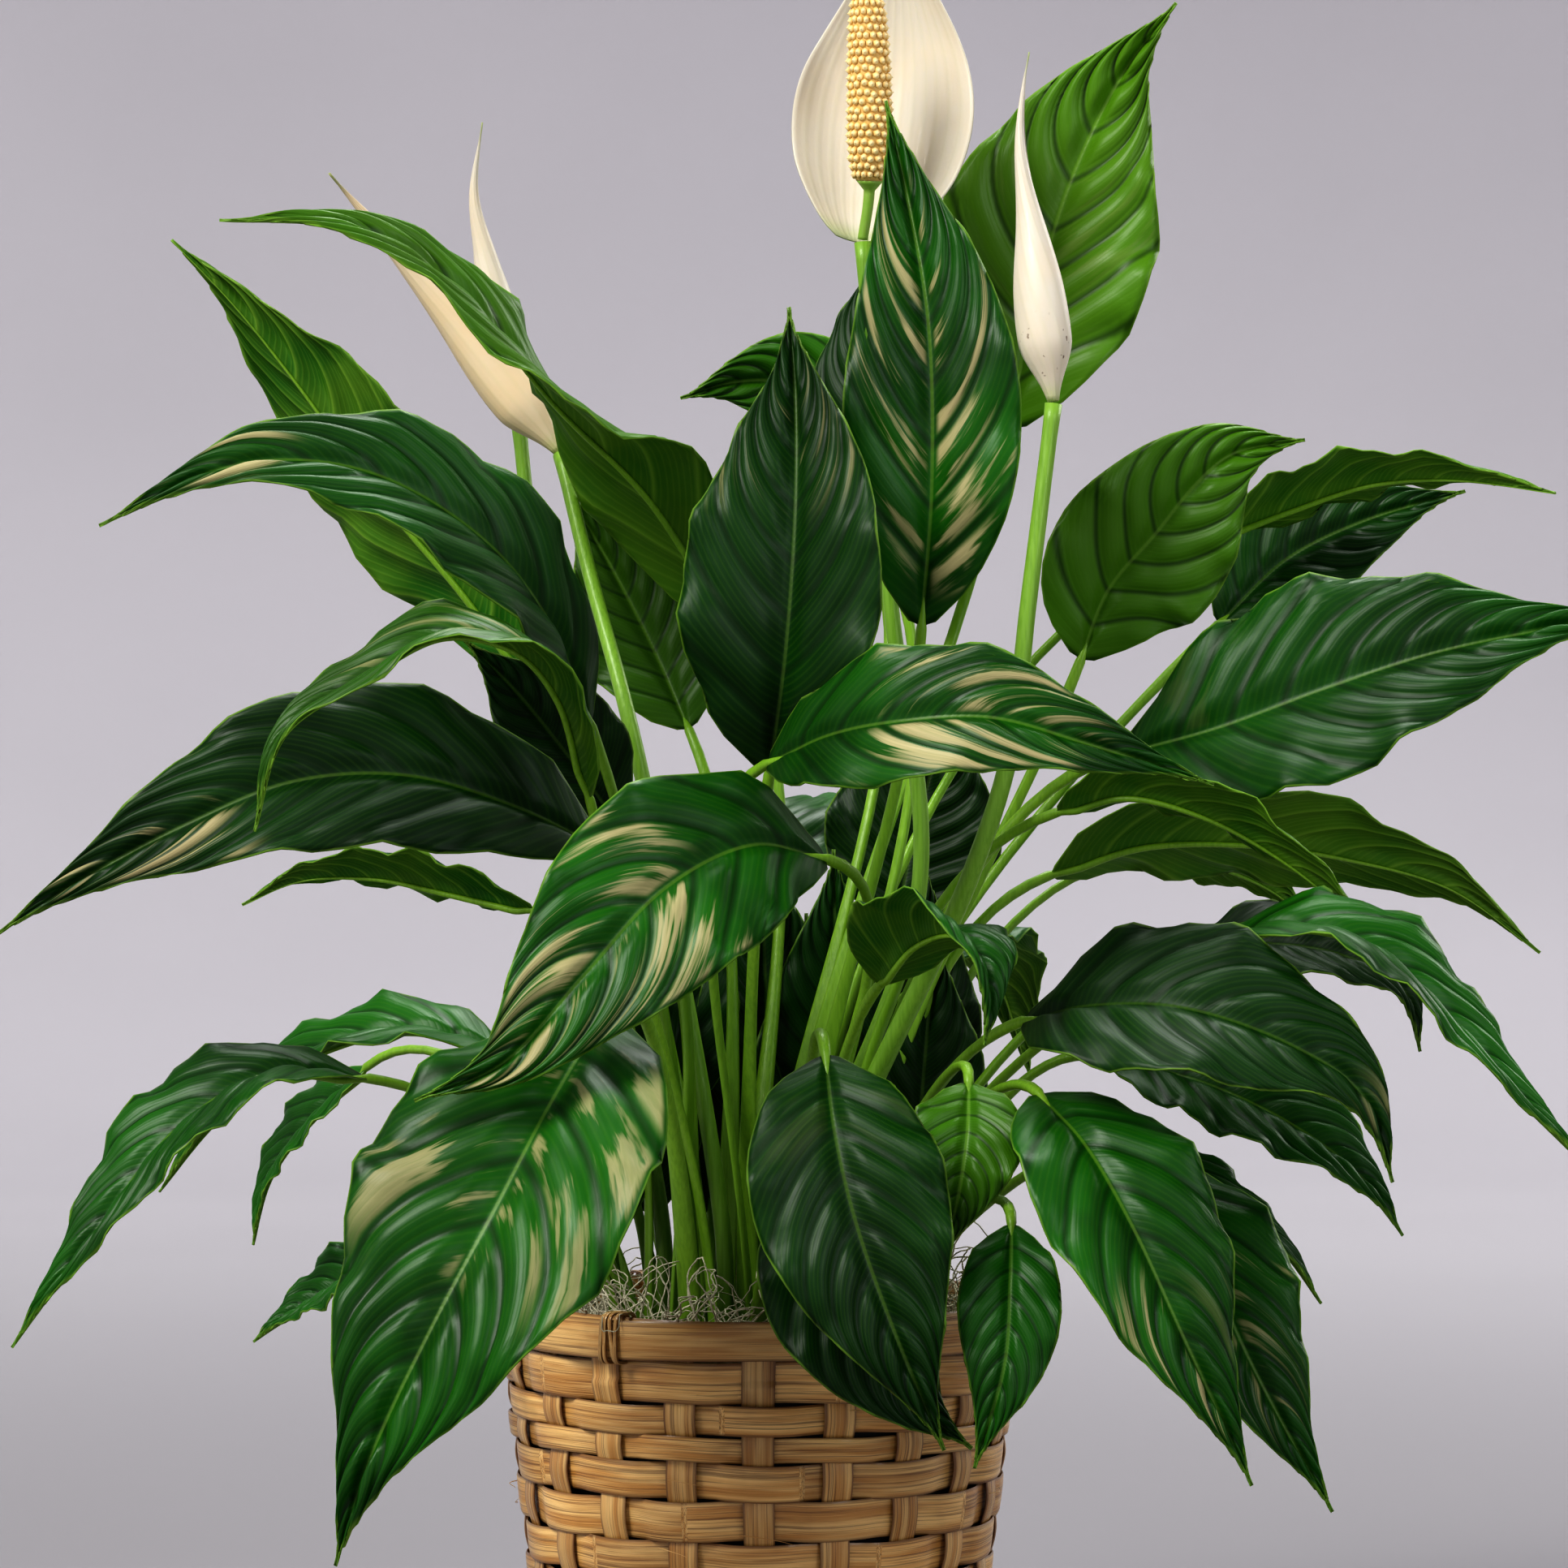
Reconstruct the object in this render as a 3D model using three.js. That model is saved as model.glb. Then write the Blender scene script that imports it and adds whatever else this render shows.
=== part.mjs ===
// A potted peace lily: a clump of leaves and four flower stalks growing from soil
// in a plastic liner pot, which stands in a woven bamboo basket.
// Millimetres. The origin is the middle of the basket's underside, +Z is up and the
// front of the plant looks towards -Y. Bearings are degrees round the pot from +X.
import * as THREE from "three";

// ---------- driving dimensions ----------
const gap = 0.3; // clear space left between pieces that touch

const basketHeight = 150;
const rimRadius = 85.2; // outside of the weave at full height
const sideTaper = 0.12; // radius gained for each millimetre of height
const weaveThickness = 3;
const weaveTop = 149;

const hoopDepth = 13; // height of the two bands that clamp the rim
const outerHoopThickness = 2;
const innerHoopThickness = 2.2;
const lashingWidth = 7;
const lashingThickness = 1;
const lashingBearings = { front: 238, right: 358, back: 118 };

const linerTop = 134;
const linerWall = 1.5;
const soilTop = 128;
const mossInnerRadius = 60;
const mossOuterRadius = 75.5;
const mossTop = 145;

const rootRings = [0, 12, 24, 36, 47, 55]; // radius of each ring of stems at the soil
const stemRadiusAtSoil = 2.2;
const stemRadiusAtNeck = 1.7;
const bladeThickness = 1.2;
const bladeEdgeThickness = 1;
const tipHalfWidth = 0.9;

const roundSegments = 72;

const up = new THREE.Vector3(0, 0, 1);
const radians = THREE.MathUtils.degToRad;
const vector = (xyz) => new THREE.Vector3(...xyz);

const weaveOutside = (z) => rimRadius - sideTaper * (basketHeight - z);
const weaveInside = (z) => weaveOutside(z) - weaveThickness;
const linerOutside = (z) => weaveInside(z) - 0.5;
const linerInside = (z) => linerOutside(z) - linerWall;

// ---------- solids from rings and profiles ----------
function closedMesh(name, corners) {
  const geometry = new THREE.BufferGeometry().setFromPoints(corners);
  geometry.computeVertexNormals();
  const mesh = new THREE.Mesh(geometry, new THREE.MeshStandardMaterial());
  mesh.name = name;
  return mesh;
}

// A profile of [radius, height] pairs, run anticlockwise, turned about the pot's axis.
function turned(name, profile, segments = roundSegments) {
  const corners = [];
  const cornerAt = ([radius, height], step) => {
    const angle = (2 * Math.PI * (step % segments)) / segments;
    return new THREE.Vector3(radius * Math.cos(angle), radius * Math.sin(angle), height);
  };
  profile.forEach((from, index) => {
    const to = profile[(index + 1) % profile.length];
    if (from[0] === 0 && to[0] === 0) return;
    for (let step = 0; step < segments; step++) {
      if (from[0] > 0)
        corners.push(cornerAt(from, step), cornerAt(from, step + 1), cornerAt(to, step));
      if (to[0] > 0)
        corners.push(cornerAt(to, step), cornerAt(from, step + 1), cornerAt(to, step + 1));
    }
  });
  return closedMesh(name, corners);
}

// Rings of equal count joined one after another, with a flat cap on each end.
function lofted(name, rings) {
  const corners = [];
  const count = rings[0].length;
  for (let row = 0; row + 1 < rings.length; row++) {
    for (let side = 0; side < count; side++) {
      const next = (side + 1) % count;
      const a = rings[row][side];
      const b = rings[row][next];
      const c = rings[row + 1][next];
      const d = rings[row + 1][side];
      corners.push(a, b, c, a, c, d);
    }
  }
  const first = rings[0];
  const last = rings[rings.length - 1];
  for (let side = 1; side + 1 < count; side++) {
    corners.push(first[0], first[side + 1], first[side]);
    corners.push(last[0], last[side], last[side + 1]);
  }
  return closedMesh(name, corners);
}

// ---------- frames that follow a curved path ----------
function smoothCurve(points) {
  return new THREE.CatmullRomCurve3(points.map(vector), false, "centripetal");
}

// Directions along a list of points, each from its two neighbours.
function directionsOf(points) {
  return points.map((point, index) => {
    const before = points[Math.max(index - 1, 0)];
    const after = points[Math.min(index + 1, points.length - 1)];
    return after.clone().sub(before).normalize();
  });
}

// Carries a facing direction from one point of a path to all the others without
// letting it spin about the path. Each frame has a right, a face and an ahead.
function framesAlong(points, directions, startIndex, facing) {
  const faces = [];
  const start = directions[startIndex];
  faces[startIndex] = facing.clone().addScaledVector(start, -facing.dot(start)).normalize();
  const carry = (from, to) => {
    const turn = new THREE.Quaternion().setFromUnitVectors(directions[from], directions[to]);
    faces[to] = faces[from].clone().applyQuaternion(turn);
  };
  for (let index = startIndex + 1; index < points.length; index++) carry(index - 1, index);
  for (let index = startIndex - 1; index >= 0; index--) carry(index + 1, index);
  return points.map((at, index) => {
    const ahead = directions[index];
    const face = faces[index];
    return { at, face, right: face.clone().cross(ahead) };
  });
}

function placed(frame, across, above) {
  return frame.at.clone().addScaledVector(frame.right, across).addScaledVector(frame.face, above);
}

// Turns a frame about its path.
function twisted({ at, face, right }, angle) {
  return {
    at,
    face: face.clone().multiplyScalar(Math.cos(angle)).addScaledVector(right, Math.sin(angle)),
    right: right.clone().multiplyScalar(Math.cos(angle)).addScaledVector(face, -Math.sin(angle)),
  };
}

// A round or oval ring of corners, starting part of a step round from the right.
function ovalRing(frame, halfWidth, halfDepth, count) {
  return Array.from({ length: count }, (_, step) => {
    const angle = (2 * Math.PI * (step + 0.5)) / count;
    return placed(frame, halfWidth * Math.cos(angle), halfDepth * Math.sin(angle));
  });
}

// ---------- leaves ----------
const leafHalfWidth = (u, width) =>
  Math.max(tipHalfWidth, (width / 2) * Math.sin(Math.PI * u ** 0.72) ** (1 + 0.5 * u));

// Six corners across a blade: right, middle and left on top, then left, middle and
// right beneath. The halves rise from the midrib by the fold and droop at the margin.
function bladeRing(frame, halfWidth, fold, droop = 0.35) {
  const rise = halfWidth * Math.tan(radians(fold)) * (1 - droop);
  const half = bladeThickness / 2;
  const edge = bladeEdgeThickness / 2;
  return [
    placed(frame, halfWidth, rise + edge),
    placed(frame, 0, half),
    placed(frame, -halfWidth, rise + edge),
    placed(frame, -halfWidth, rise - edge),
    placed(frame, 0, -half),
    placed(frame, halfWidth, rise - edge),
  ];
}

function rootPoint(ring, bearing) {
  const radius = rootRings[ring];
  const angle = radians(bearing);
  return new THREE.Vector3(radius * Math.cos(angle), radius * Math.sin(angle), soilTop + gap);
}

const stemSteps = [0, 0.16, 0.34, 0.52, 0.7, 0.86, 1];
const bladeSteps = [0.05, 0.14, 0.26, 0.38, 0.5, 0.62, 0.74, 0.85, 0.94, 1];

// The share of a blade's twist that it has reached at u.
const twistShare = (u) => THREE.MathUtils.smoothstep(u, 0.1, 0.65);

function leafMesh({ name, ring, bearing, width, facing, fold = 18, twist = 0, spine }) {
  const root = rootPoint(ring, bearing);
  const blade = smoothCurve(spine);
  const neck = blade.getPointAt(0);
  const reach = neck.distanceTo(root);
  const stem = new THREE.CubicBezierCurve3(
    root,
    root.clone().addScaledVector(up, 0.35 * reach),
    neck.clone().addScaledVector(blade.getTangentAt(0), -0.3 * reach),
    neck,
  );
  const points = [
    ...stemSteps.map((t) => stem.getPoint(t)),
    ...bladeSteps.map((u) => blade.getPointAt(u)),
  ];
  const directions = directionsOf(points);
  directions[0] = up.clone();
  const neckIndex = stemSteps.length - 1;
  const frames = framesAlong(points, directions, neckIndex, vector(facing));
  const rings = frames.map((frame, index) => {
    if (index <= neckIndex) {
      const radius = THREE.MathUtils.lerp(stemRadiusAtSoil, stemRadiusAtNeck, index / neckIndex);
      return ovalRing(frame, radius, radius, 6);
    }
    const u = bladeSteps[index - neckIndex - 1];
    const turned = twisted(frame, radians(twist) * twistShare(u));
    return bladeRing(turned, leafHalfWidth(u, width), fold);
  });
  return lofted(name, rings);
}

// Each leaf: where its stem leaves the soil, the width of its blade, the way its upper
// side looks at the neck, the fold of its halves, any twist of its outer part, and
// points along its midrib from neck to tip.
const leaves = [
  // the upright leaves of the crown
  {
    name: "leaf_crown_front", ring: 1, bearing: 305, width: 56, facing: [0, -1, 0.2], fold: 20,
    spine: [[51, -38, 364], [54, -46, 408], [53, -44, 460], [47, -34, 499], [40, -22, 533]],
  },
  {
    name: "leaf_crown_left", ring: 1, bearing: 250, width: 64, facing: [-0.2, -1, 0.3], fold: 30,
    spine: [[3, -72, 318], [8, -88, 356], [11, -84, 401], [11, -70, 437], [9, -58, 464]],
  },
  {
    name: "leaf_crown_right", ring: 1, bearing: 64, width: 76, facing: [-0.2, -1, 0.3], fold: 14,
    spine: [[82, 48, 432], [90, 52, 472], [103, 56, 516], [120, 54, 551], [137, 42, 573]],
  },
  {
    name: "leaf_crown_back", ring: 1, bearing: 5, width: 50, facing: [-0.7, -0.7, 0], fold: 20,
    spine: [[46, 20, 377], [36, 20, 412], [32, 25, 451], [37, 30, 478], [42, 30, 495]],
  },
  {
    name: "leaf_crown_rear", ring: 1, bearing: 90, width: 50, facing: [-0.4, -0.8, 0.4], fold: 18,
    spine: [[37, 70, 401], [27, 80, 432], [10, 86, 450], [-9, 84, 451], [-27, 78, 445]],
  },
  // the left side
  {
    name: "leaf_left_top", ring: 1, bearing: 116, width: 56, facing: [0.2, 0.9, 0.4], fold: 8, twist: 85,
    spine: [[-10, 58, 367], [-37, 34, 410], [-65, 8, 438], [-98, -14, 475], [-128, -26, 492],
      [-171, -34, 494]],
  },
  {
    name: "leaf_left_high", ring: 2, bearing: 148, width: 58, facing: [0.4, 0.8, 0.5], fold: 16,
    spine: [[-78, 46, 350], [-97, 44, 377], [-125, 40, 410], [-152, 34, 447], [-172, 28, 472],
      [-192, 20, 493]],
  },
  {
    name: "leaf_left_upper", ring: 2, bearing: 212, width: 52, facing: [0.9, -0.4, 0.1], fold: 18,
    spine: [[-53, -42, 333], [-64, -62, 364], [-85, -79, 391], [-120, -92, 411], [-157, -98, 413],
      [-201, -100, 394]],
  },
  {
    name: "leaf_left_curl", ring: 2, bearing: 234, width: 40, facing: [0.88, 0.3, 0.2], fold: 20,
    spine: [[-52, -84, 310], [-60, -98, 341], [-73, -108, 356], [-95, -116, 360], [-120, -124, 346],
      [-142, -130, 330], [-151, -132, 301]],
  },
  {
    name: "leaf_left_wide", ring: 3, bearing: 222, width: 57, facing: [-0.2, -0.8, 0.6], fold: 16,
    spine: [[-49, -52, 295], [-75, -66, 308], [-109, -80, 318], [-143, -88, 316], [-175, -92, 303],
      [-207, -92, 286], [-234, -90, 269]],
  },
  {
    name: "leaf_left_under", ring: 3, bearing: 175, width: 35, facing: [0, 0.4, 0.9], fold: 18,
    spine: [[-73, 10, 274], [-100, 16, 280], [-126, 20, 285], [-151, 24, 284], [-170, 26, 276]],
  },
  {
    name: "leaf_left_inner", ring: 2, bearing: 120, width: 48, facing: [0, -0.9, 0.4], fold: 18,
    spine: [[-24, 56, 333], [-36, 68, 360], [-51, 76, 389], [-66, 80, 414]],
  },
  {
    name: "leaf_left_shade", ring: 2, bearing: 190, width: 40, facing: [0, -0.9, 0.4], fold: 18,
    spine: [[-45, -20, 302], [-61, -24, 324], [-78, -26, 345], [-94, -28, 361]],
  },
  {
    name: "leaf_left_arch", ring: 4, bearing: 205, width: 44, facing: [0, -0.3, 0.95], fold: 18,
    spine: [[-122, -56, 223], [-152, -70, 226], [-180, -82, 209], [-205, -90, 176], [-229, -92, 143]],
  },
  {
    name: "leaf_left_low_back", ring: 4, bearing: 170, width: 45, facing: [0, -0.3, 0.95], fold: 18,
    spine: [[-84, 20, 229], [-116, 26, 235], [-146, 32, 227], [-176, 36, 208], [-199, 38, 181]],
  },
  {
    name: "leaf_left_low_small", ring: 4, bearing: 152, width: 30, facing: [-0.2, -0.5, 0.85], fold: 18,
    spine: [[-134, 88, 219], [-153, 94, 202], [-168, 98, 181], [-174, 98, 158]],
  },
  {
    name: "leaf_left_low_tip", ring: 5, bearing: 140, width: 40, facing: [-0.2, -0.5, 0.85], fold: 18,
    spine: [[-121, 100, 157], [-139, 108, 148], [-156, 112, 137], [-175, 112, 124]],
  },
  // the front
  {
    name: "leaf_front_left", ring: 2, bearing: 288, width: 62, facing: [-0.3, -0.85, 0.45], fold: 10,
    spine: [[21, -94, 292], [-1, -115, 297], [-28, -138, 284], [-52, -152, 258], [-75, -158, 233],
      [-101, -158, 222]],
  },
  {
    name: "leaf_front_left_low", ring: 4, bearing: 243, width: 88, facing: [-0.15, -0.8, 0.6], fold: 10,
    spine: [[-46, -112, 247], [-62, -146, 220], [-77, -166, 191], [-94, -176, 159], [-112, -180, 121],
      [-123, -176, 88]],
  },
  {
    name: "leaf_front_mid", ring: 2, bearing: 262, width: 48, facing: [0, -0.85, 0.5], fold: 16,
    spine: [[2, -92, 321], [21, -116, 330], [42, -134, 334], [69, -142, 335], [98, -142, 327],
      [136, -134, 315]],
  },
  {
    name: "leaf_front_fold", ring: 3, bearing: 295, width: 45, facing: [0.3, -0.3, 0.9], fold: 24,
    spine: [[37, -78, 253], [48, -100, 267], [60, -118, 270], [68, -130, 258], [68, -132, 237]],
  },
  {
    name: "leaf_front_low", ring: 4, bearing: 284, width: 59, facing: [0, -0.9, 0.4], fold: 10,
    spine: [[20, -118, 234], [23, -138, 210], [29, -148, 185], [40, -152, 154], [55, -148, 118]],
  },
  {
    name: "leaf_front_low_under", ring: 4, bearing: 268, width: 50, facing: [0, -0.9, 0.4], fold: 10,
    spine: [[17, -104, 194], [22, -120, 172], [34, -126, 148], [48, -128, 129], [64, -126, 116]],
  },
  {
    name: "leaf_front_small", ring: 4, bearing: 298, width: 35, facing: [0, -0.9, 0.4], fold: 14,
    spine: [[64, -96, 224], [63, -110, 209], [60, -115, 190], [56, -115, 173]],
  },
  {
    name: "leaf_front_gloss", ring: 5, bearing: 303, width: 31, facing: [0, -0.8, 0.6], fold: 12,
    spine: [[76, -120, 183], [75, -135, 167], [73, -142, 143], [64, -142, 112]],
  },
  // the right side
  {
    name: "leaf_right_low", ring: 4, bearing: 315, width: 56, facing: [0.25, -0.85, 0.45], fold: 12,
    spine: [[85, -100, 221], [98, -128, 207], [111, -144, 184], [126, -152, 151], [146, -150, 108]],
  },
  {
    name: "leaf_right_low_gloss", ring: 4, bearing: 329, width: 47, facing: [0.25, -0.85, 0.45], fold: 12,
    spine: [[124, -74, 199], [135, -98, 178], [143, -112, 153], [156, -118, 126], [173, -118, 96]],
  },
  {
    name: "leaf_right_low_curl", ring: 4, bearing: 341, width: 28, facing: [0.5, -0.3, 0.8], fold: 24,
    spine: [[108, -40, 204], [128, -54, 198], [145, -62, 186], [161, -66, 173], [175, -66, 154]],
  },
  {
    name: "leaf_right_low_back", ring: 4, bearing: 353, width: 50, facing: [0.2, -0.6, 0.8], fold: 14,
    spine: [[110, -20, 228], [140, -30, 221], [168, -38, 208], [188, -42, 193], [203, -42, 173]],
  },
  {
    name: "leaf_right_drape", ring: 3, bearing: 318, width: 62, facing: [0, -0.75, 0.65], fold: 14,
    spine: [[81, -82, 242], [100, -103, 248], [128, -120, 248], [160, -127, 237], [180, -129, 223],
      [190, -129, 196]],
  },
  {
    name: "leaf_right_dark", ring: 3, bearing: 350, width: 40, facing: [0.1, -0.6, 0.8], fold: 16,
    spine: [[133, -20, 262], [160, -34, 265], [185, -42, 261], [202, -46, 251], [208, -46, 231]],
  },
  {
    name: "leaf_right_long", ring: 3, bearing: 334, width: 45, facing: [0, -0.3, 0.95], fold: 18,
    spine: [[134, -78, 262], [161, -93, 272], [187, -101, 266], [211, -104, 243], [233, -104, 218],
      [254, -104, 197]],
  },
  {
    name: "leaf_right_arch", ring: 2, bearing: 332, width: 40, facing: [0, 0.4, 0.9], fold: 18,
    spine: [[93, -48, 306], [114, -58, 312], [138, -64, 306], [160, -66, 294], [178, -66, 280],
      [194, -66, 262]],
  },
  {
    name: "leaf_right_light", ring: 3, bearing: 18, width: 50, facing: [0, 0.6, 0.8], fold: 16,
    spine: [[94, 22, 285], [123, 26, 295], [158, 30, 296], [193, 32, 291], [227, 32, 281], [256, 30, 260]],
  },
  {
    name: "leaf_right_under", ring: 3, bearing: 36, width: 35, facing: [0, 0.5, 0.85], fold: 18,
    spine: [[126, 78, 289], [149, 90, 289], [171, 98, 281], [188, 100, 269]],
  },
  {
    name: "leaf_right_wide", ring: 2, bearing: 344, width: 75, facing: [0.1, -0.85, 0.5], fold: 14,
    spine: [[116, -14, 325], [145, -30, 333], [177, -42, 345], [210, -50, 356], [242, -54, 363],
      [273, -54, 368]],
  },
  {
    name: "leaf_right_back", ring: 2, bearing: 56, width: 45, facing: [0.2, -0.7, 0.6], fold: 16,
    spine: [[152, 54, 368], [175, 60, 390], [201, 62, 403], [235, 60, 413]],
  },
  {
    name: "leaf_right_edge", ring: 1, bearing: 30, width: 40, facing: [0, 0.35, 0.95], fold: 18,
    spine: [[145, 40, 395], [174, 34, 406], [200, 26, 414], [226, 18, 415], [258, 8, 410]],
  },
  {
    name: "leaf_right_upper", ring: 2, bearing: 14, width: 56, facing: [0.1, -0.95, 0.2], fold: 16,
    spine: [[104, 14, 355], [113, 12, 378], [128, 8, 396], [141, 6, 412], [153, 8, 422], [177, 12, 427]],
  },
  // the back
  {
    name: "leaf_inner_back", ring: 2, bearing: 78, width: 60, facing: [0, -0.9, 0.4], fold: 16,
    spine: [[45, 66, 266], [50, 70, 292], [57, 73, 319], [65, 72, 346]],
  },
  {
    name: "leaf_back_mid", ring: 3, bearing: 90, width: 55, facing: [0, 0.5, 0.85], fold: 16,
    spine: [[6, 110, 278], [3, 140, 303], [0, 180, 305], [-2, 215, 267]],
  },
  {
    name: "leaf_back_right", ring: 3, bearing: 60, width: 55, facing: [0.3, 0.5, 0.8], fold: 16,
    spine: [[50, 105, 250], [65, 140, 263], [83, 170, 248], [96, 185, 210]],
  },
];

// ---------- flowers ----------
const scapeSides = 8;
const scapeSteps = 9;

// A flower stalk: a round stem from the soil through the points given.
function scapeMesh({ name, ring, bearing, through, radiusAtSoil = 2.8, radiusAtTop = 2.4 }) {
  const root = rootPoint(ring, bearing);
  const path = smoothCurve([root.toArray(), root.clone().addScaledVector(up, 40).toArray(), ...through]);
  const points = Array.from({ length: scapeSteps + 1 }, (_, step) => path.getPointAt(step / scapeSteps));
  const directions = directionsOf(points);
  directions[0] = up.clone();
  const frames = framesAlong(points, directions, 0, new THREE.Vector3(0, -1, 0));
  const rings = frames.map((frame, step) => {
    const radius = THREE.MathUtils.lerp(radiusAtSoil, radiusAtTop, step / scapeSteps);
    return ovalRing(frame, radius, radius, scapeSides);
  });
  return lofted(name, rings);
}

const scapes = [
  { name: "flower_open_scape", ring: 1, bearing: 340, through: [[51, -3, 280], [42, -2, 374], [33, 2, 490]] },
  {
    name: "bud_right_scape", ring: 2, bearing: 311, radiusAtSoil: 3.6,
    through: [[66, -50, 286], [78, -56, 324], [84, -56, 372], [92, -52, 434]],
  },
  { name: "bud_inner_scape", ring: 3, bearing: 152, through: [[-58, 60, 290], [-73, 84, 355], [-83, 98, 440]] },
  {
    name: "bud_outer_scape", ring: 1, bearing: 185,
    through: [[-36.0, 6, 306.0], [-43.7, 10, 339.8], [-56.7, 34, 385.7], [-66.7, 56, 424.6]],
  },
];

// A closed bract: an oval spindle through the points given, with the half width and
// half depth it has at its fullest.
const budSteps = [0, 0.06, 0.16, 0.3, 0.45, 0.6, 0.75, 0.88, 1];
const budSwelling = (u) => Math.max(0.14, Math.sin(Math.PI * (0.04 + 0.94 * u) ** 0.5) ** 1.3);

function budMesh({ name, halfWidth, halfDepth, facing, spine }) {
  const path = smoothCurve(spine);
  const points = budSteps.map((u) => path.getPointAt(u));
  const frames = framesAlong(points, directionsOf(points), 0, vector(facing));
  const rings = frames.map((frame, index) => {
    const swelling = budSwelling(budSteps[index]);
    return ovalRing(frame, halfWidth * swelling, halfDepth * swelling, 10);
  });
  return lofted(name, rings);
}

const buds = [
  {
    name: "bud_right_spathe", halfWidth: 9, halfDepth: 8, facing: [0, -1, 0],
    spine: [[92, -52, 434.8], [89, -50, 459], [86, -46, 485], [82, -42, 516], [83, -40, 534],
      [85, -38, 546]],
  },
  {
    name: "bud_inner_spathe", halfWidth: 8, halfDepth: 7.5, facing: [0, -1, 0],
    spine: [[-83, 98, 440.8], [-88, 100, 466], [-94, 100, 494], [-98, 98, 516], [-95, 94, 540]],
  },
  {
    name: "bud_outer_spathe", halfWidth: 14, halfDepth: 7, facing: [0.5, -0.8, 0.3],
    spine: [[-67.1, 56.4, 425.6], [-80.7, 60, 443.6], [-99.5, 62, 468.4], [-121.1, 60, 492.8],
      [-137.7, 54, 511.2], [-143.2, 48, 517.5]],
  },
];

// The open bract stands behind the spike of flowers and cups round it.
const spatheSteps = [0, 0.06, 0.14, 0.26, 0.38, 0.5, 0.62, 0.74, 0.85, 0.94, 1];
const spatheHalfWidth = (u, width) =>
  Math.max(1.4, (width / 2) * Math.sin(Math.PI * (0.02 + 0.98 * u) ** 0.72) ** (0.75 + 0.7 * u));

function openSpathe({ name, width, facing, fold, spine }) {
  const path = smoothCurve(spine);
  const points = spatheSteps.map((u) => path.getPointAt(u));
  const frames = framesAlong(points, directionsOf(points), 0, vector(facing));
  const rings = frames.map((frame, index) =>
    bladeRing(frame, spatheHalfWidth(spatheSteps[index], width), fold),
  );
  return lofted(name, rings);
}

const openBract = {
  name: "flower_open_spathe", width: 59, facing: [-0.15, -1, 0.1], fold: 26,
  spine: [[33, 6.4, 490.4], [38, 18, 512], [43, 24, 550], [44, 18, 579], [44, 6, 601]],
};

// The spike: a short bare stalk, then a blunt club packed with florets.
const spadixSteps = [0, 0.1, 0.19, 0.23, 0.3, 0.42, 0.58, 0.74, 0.87, 0.95, 0.99, 1];
const spadixRadii = [1.7, 1.7, 1.8, 5.2, 7.2, 7.6, 7.4, 6.9, 6.1, 4.7, 2.6, 1.2];

function spadixMesh(name, spine) {
  const path = smoothCurve(spine);
  const points = spadixSteps.map((u) => path.getPointAt(u));
  const frames = framesAlong(points, directionsOf(points), 0, new THREE.Vector3(0, -1, 0));
  return lofted(name, frames.map((frame, index) => ovalRing(frame, spadixRadii[index], spadixRadii[index], 12)));
}

const spadixSpine = [[33, 1, 490.8], [35, -2, 505], [35, -6, 541], [34, -8, 574]];

// ---------- pot ----------
function basketBody() {
  const foot = 3;
  return turned("basket_body", [
    [0, 0],
    [weaveOutside(0) - foot, 0],
    [weaveOutside(foot), foot],
    [weaveOutside(weaveTop), weaveTop],
    [weaveInside(weaveTop), weaveTop],
    [weaveInside(weaveThickness), weaveThickness],
    [0, weaveThickness],
  ]);
}

// A band that follows the slope of the side, between two offsets from the weave.
function rimHoop(name, insideAt, thickness) {
  const bottom = basketHeight - hoopDepth;
  return turned(name, [
    [insideAt(bottom), bottom],
    [insideAt(bottom) + thickness, bottom],
    [insideAt(basketHeight) + thickness, basketHeight],
    [insideAt(basketHeight), basketHeight],
  ]);
}

const outerHoopInside = (z) => weaveOutside(z) + gap;
const innerHoopInside = (z) => weaveInside(z) - gap - innerHoopThickness;

// A strip bent over both hoops like a saddle.
function rimLashing(name, bearing) {
  const bottom = basketHeight - hoopDepth;
  const outerFace = (z) => outerHoopInside(z) + outerHoopThickness + gap;
  const innerFace = (z) => innerHoopInside(z) - gap;
  const top = basketHeight + gap;
  const outline = new THREE.Shape(
    [
      [outerFace(bottom), bottom],
      [outerFace(bottom) + lashingThickness, bottom],
      [outerFace(top) + lashingThickness, top + lashingThickness],
      [innerFace(top) - lashingThickness, top + lashingThickness],
      [innerFace(bottom) - lashingThickness, bottom],
      [innerFace(bottom), bottom],
      [innerFace(top), top],
      [outerFace(top), top],
    ].map(([radius, height]) => new THREE.Vector2(radius, height)),
  );
  const geometry = new THREE.ExtrudeGeometry(outline, { depth: lashingWidth, bevelEnabled: false });
  geometry.translate(0, 0, -lashingWidth / 2);
  geometry.rotateX(Math.PI / 2);
  geometry.rotateZ(radians(bearing));
  const mesh = new THREE.Mesh(geometry, new THREE.MeshStandardMaterial());
  mesh.name = name;
  return mesh;
}

function linerPot() {
  const bottom = weaveThickness + gap;
  const floor = bottom + linerWall;
  return turned("liner_pot", [
    [0, bottom],
    [linerOutside(bottom), bottom],
    [linerOutside(linerTop), linerTop],
    [linerInside(linerTop), linerTop],
    [linerInside(floor), floor],
    [0, floor],
  ]);
}

function soil() {
  const bottom = weaveThickness + gap + linerWall + gap;
  return turned("soil", [
    [0, bottom],
    [linerInside(bottom) - gap, bottom],
    [linerInside(soilTop) - gap, soilTop],
    [0, soilTop],
  ]);
}

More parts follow.
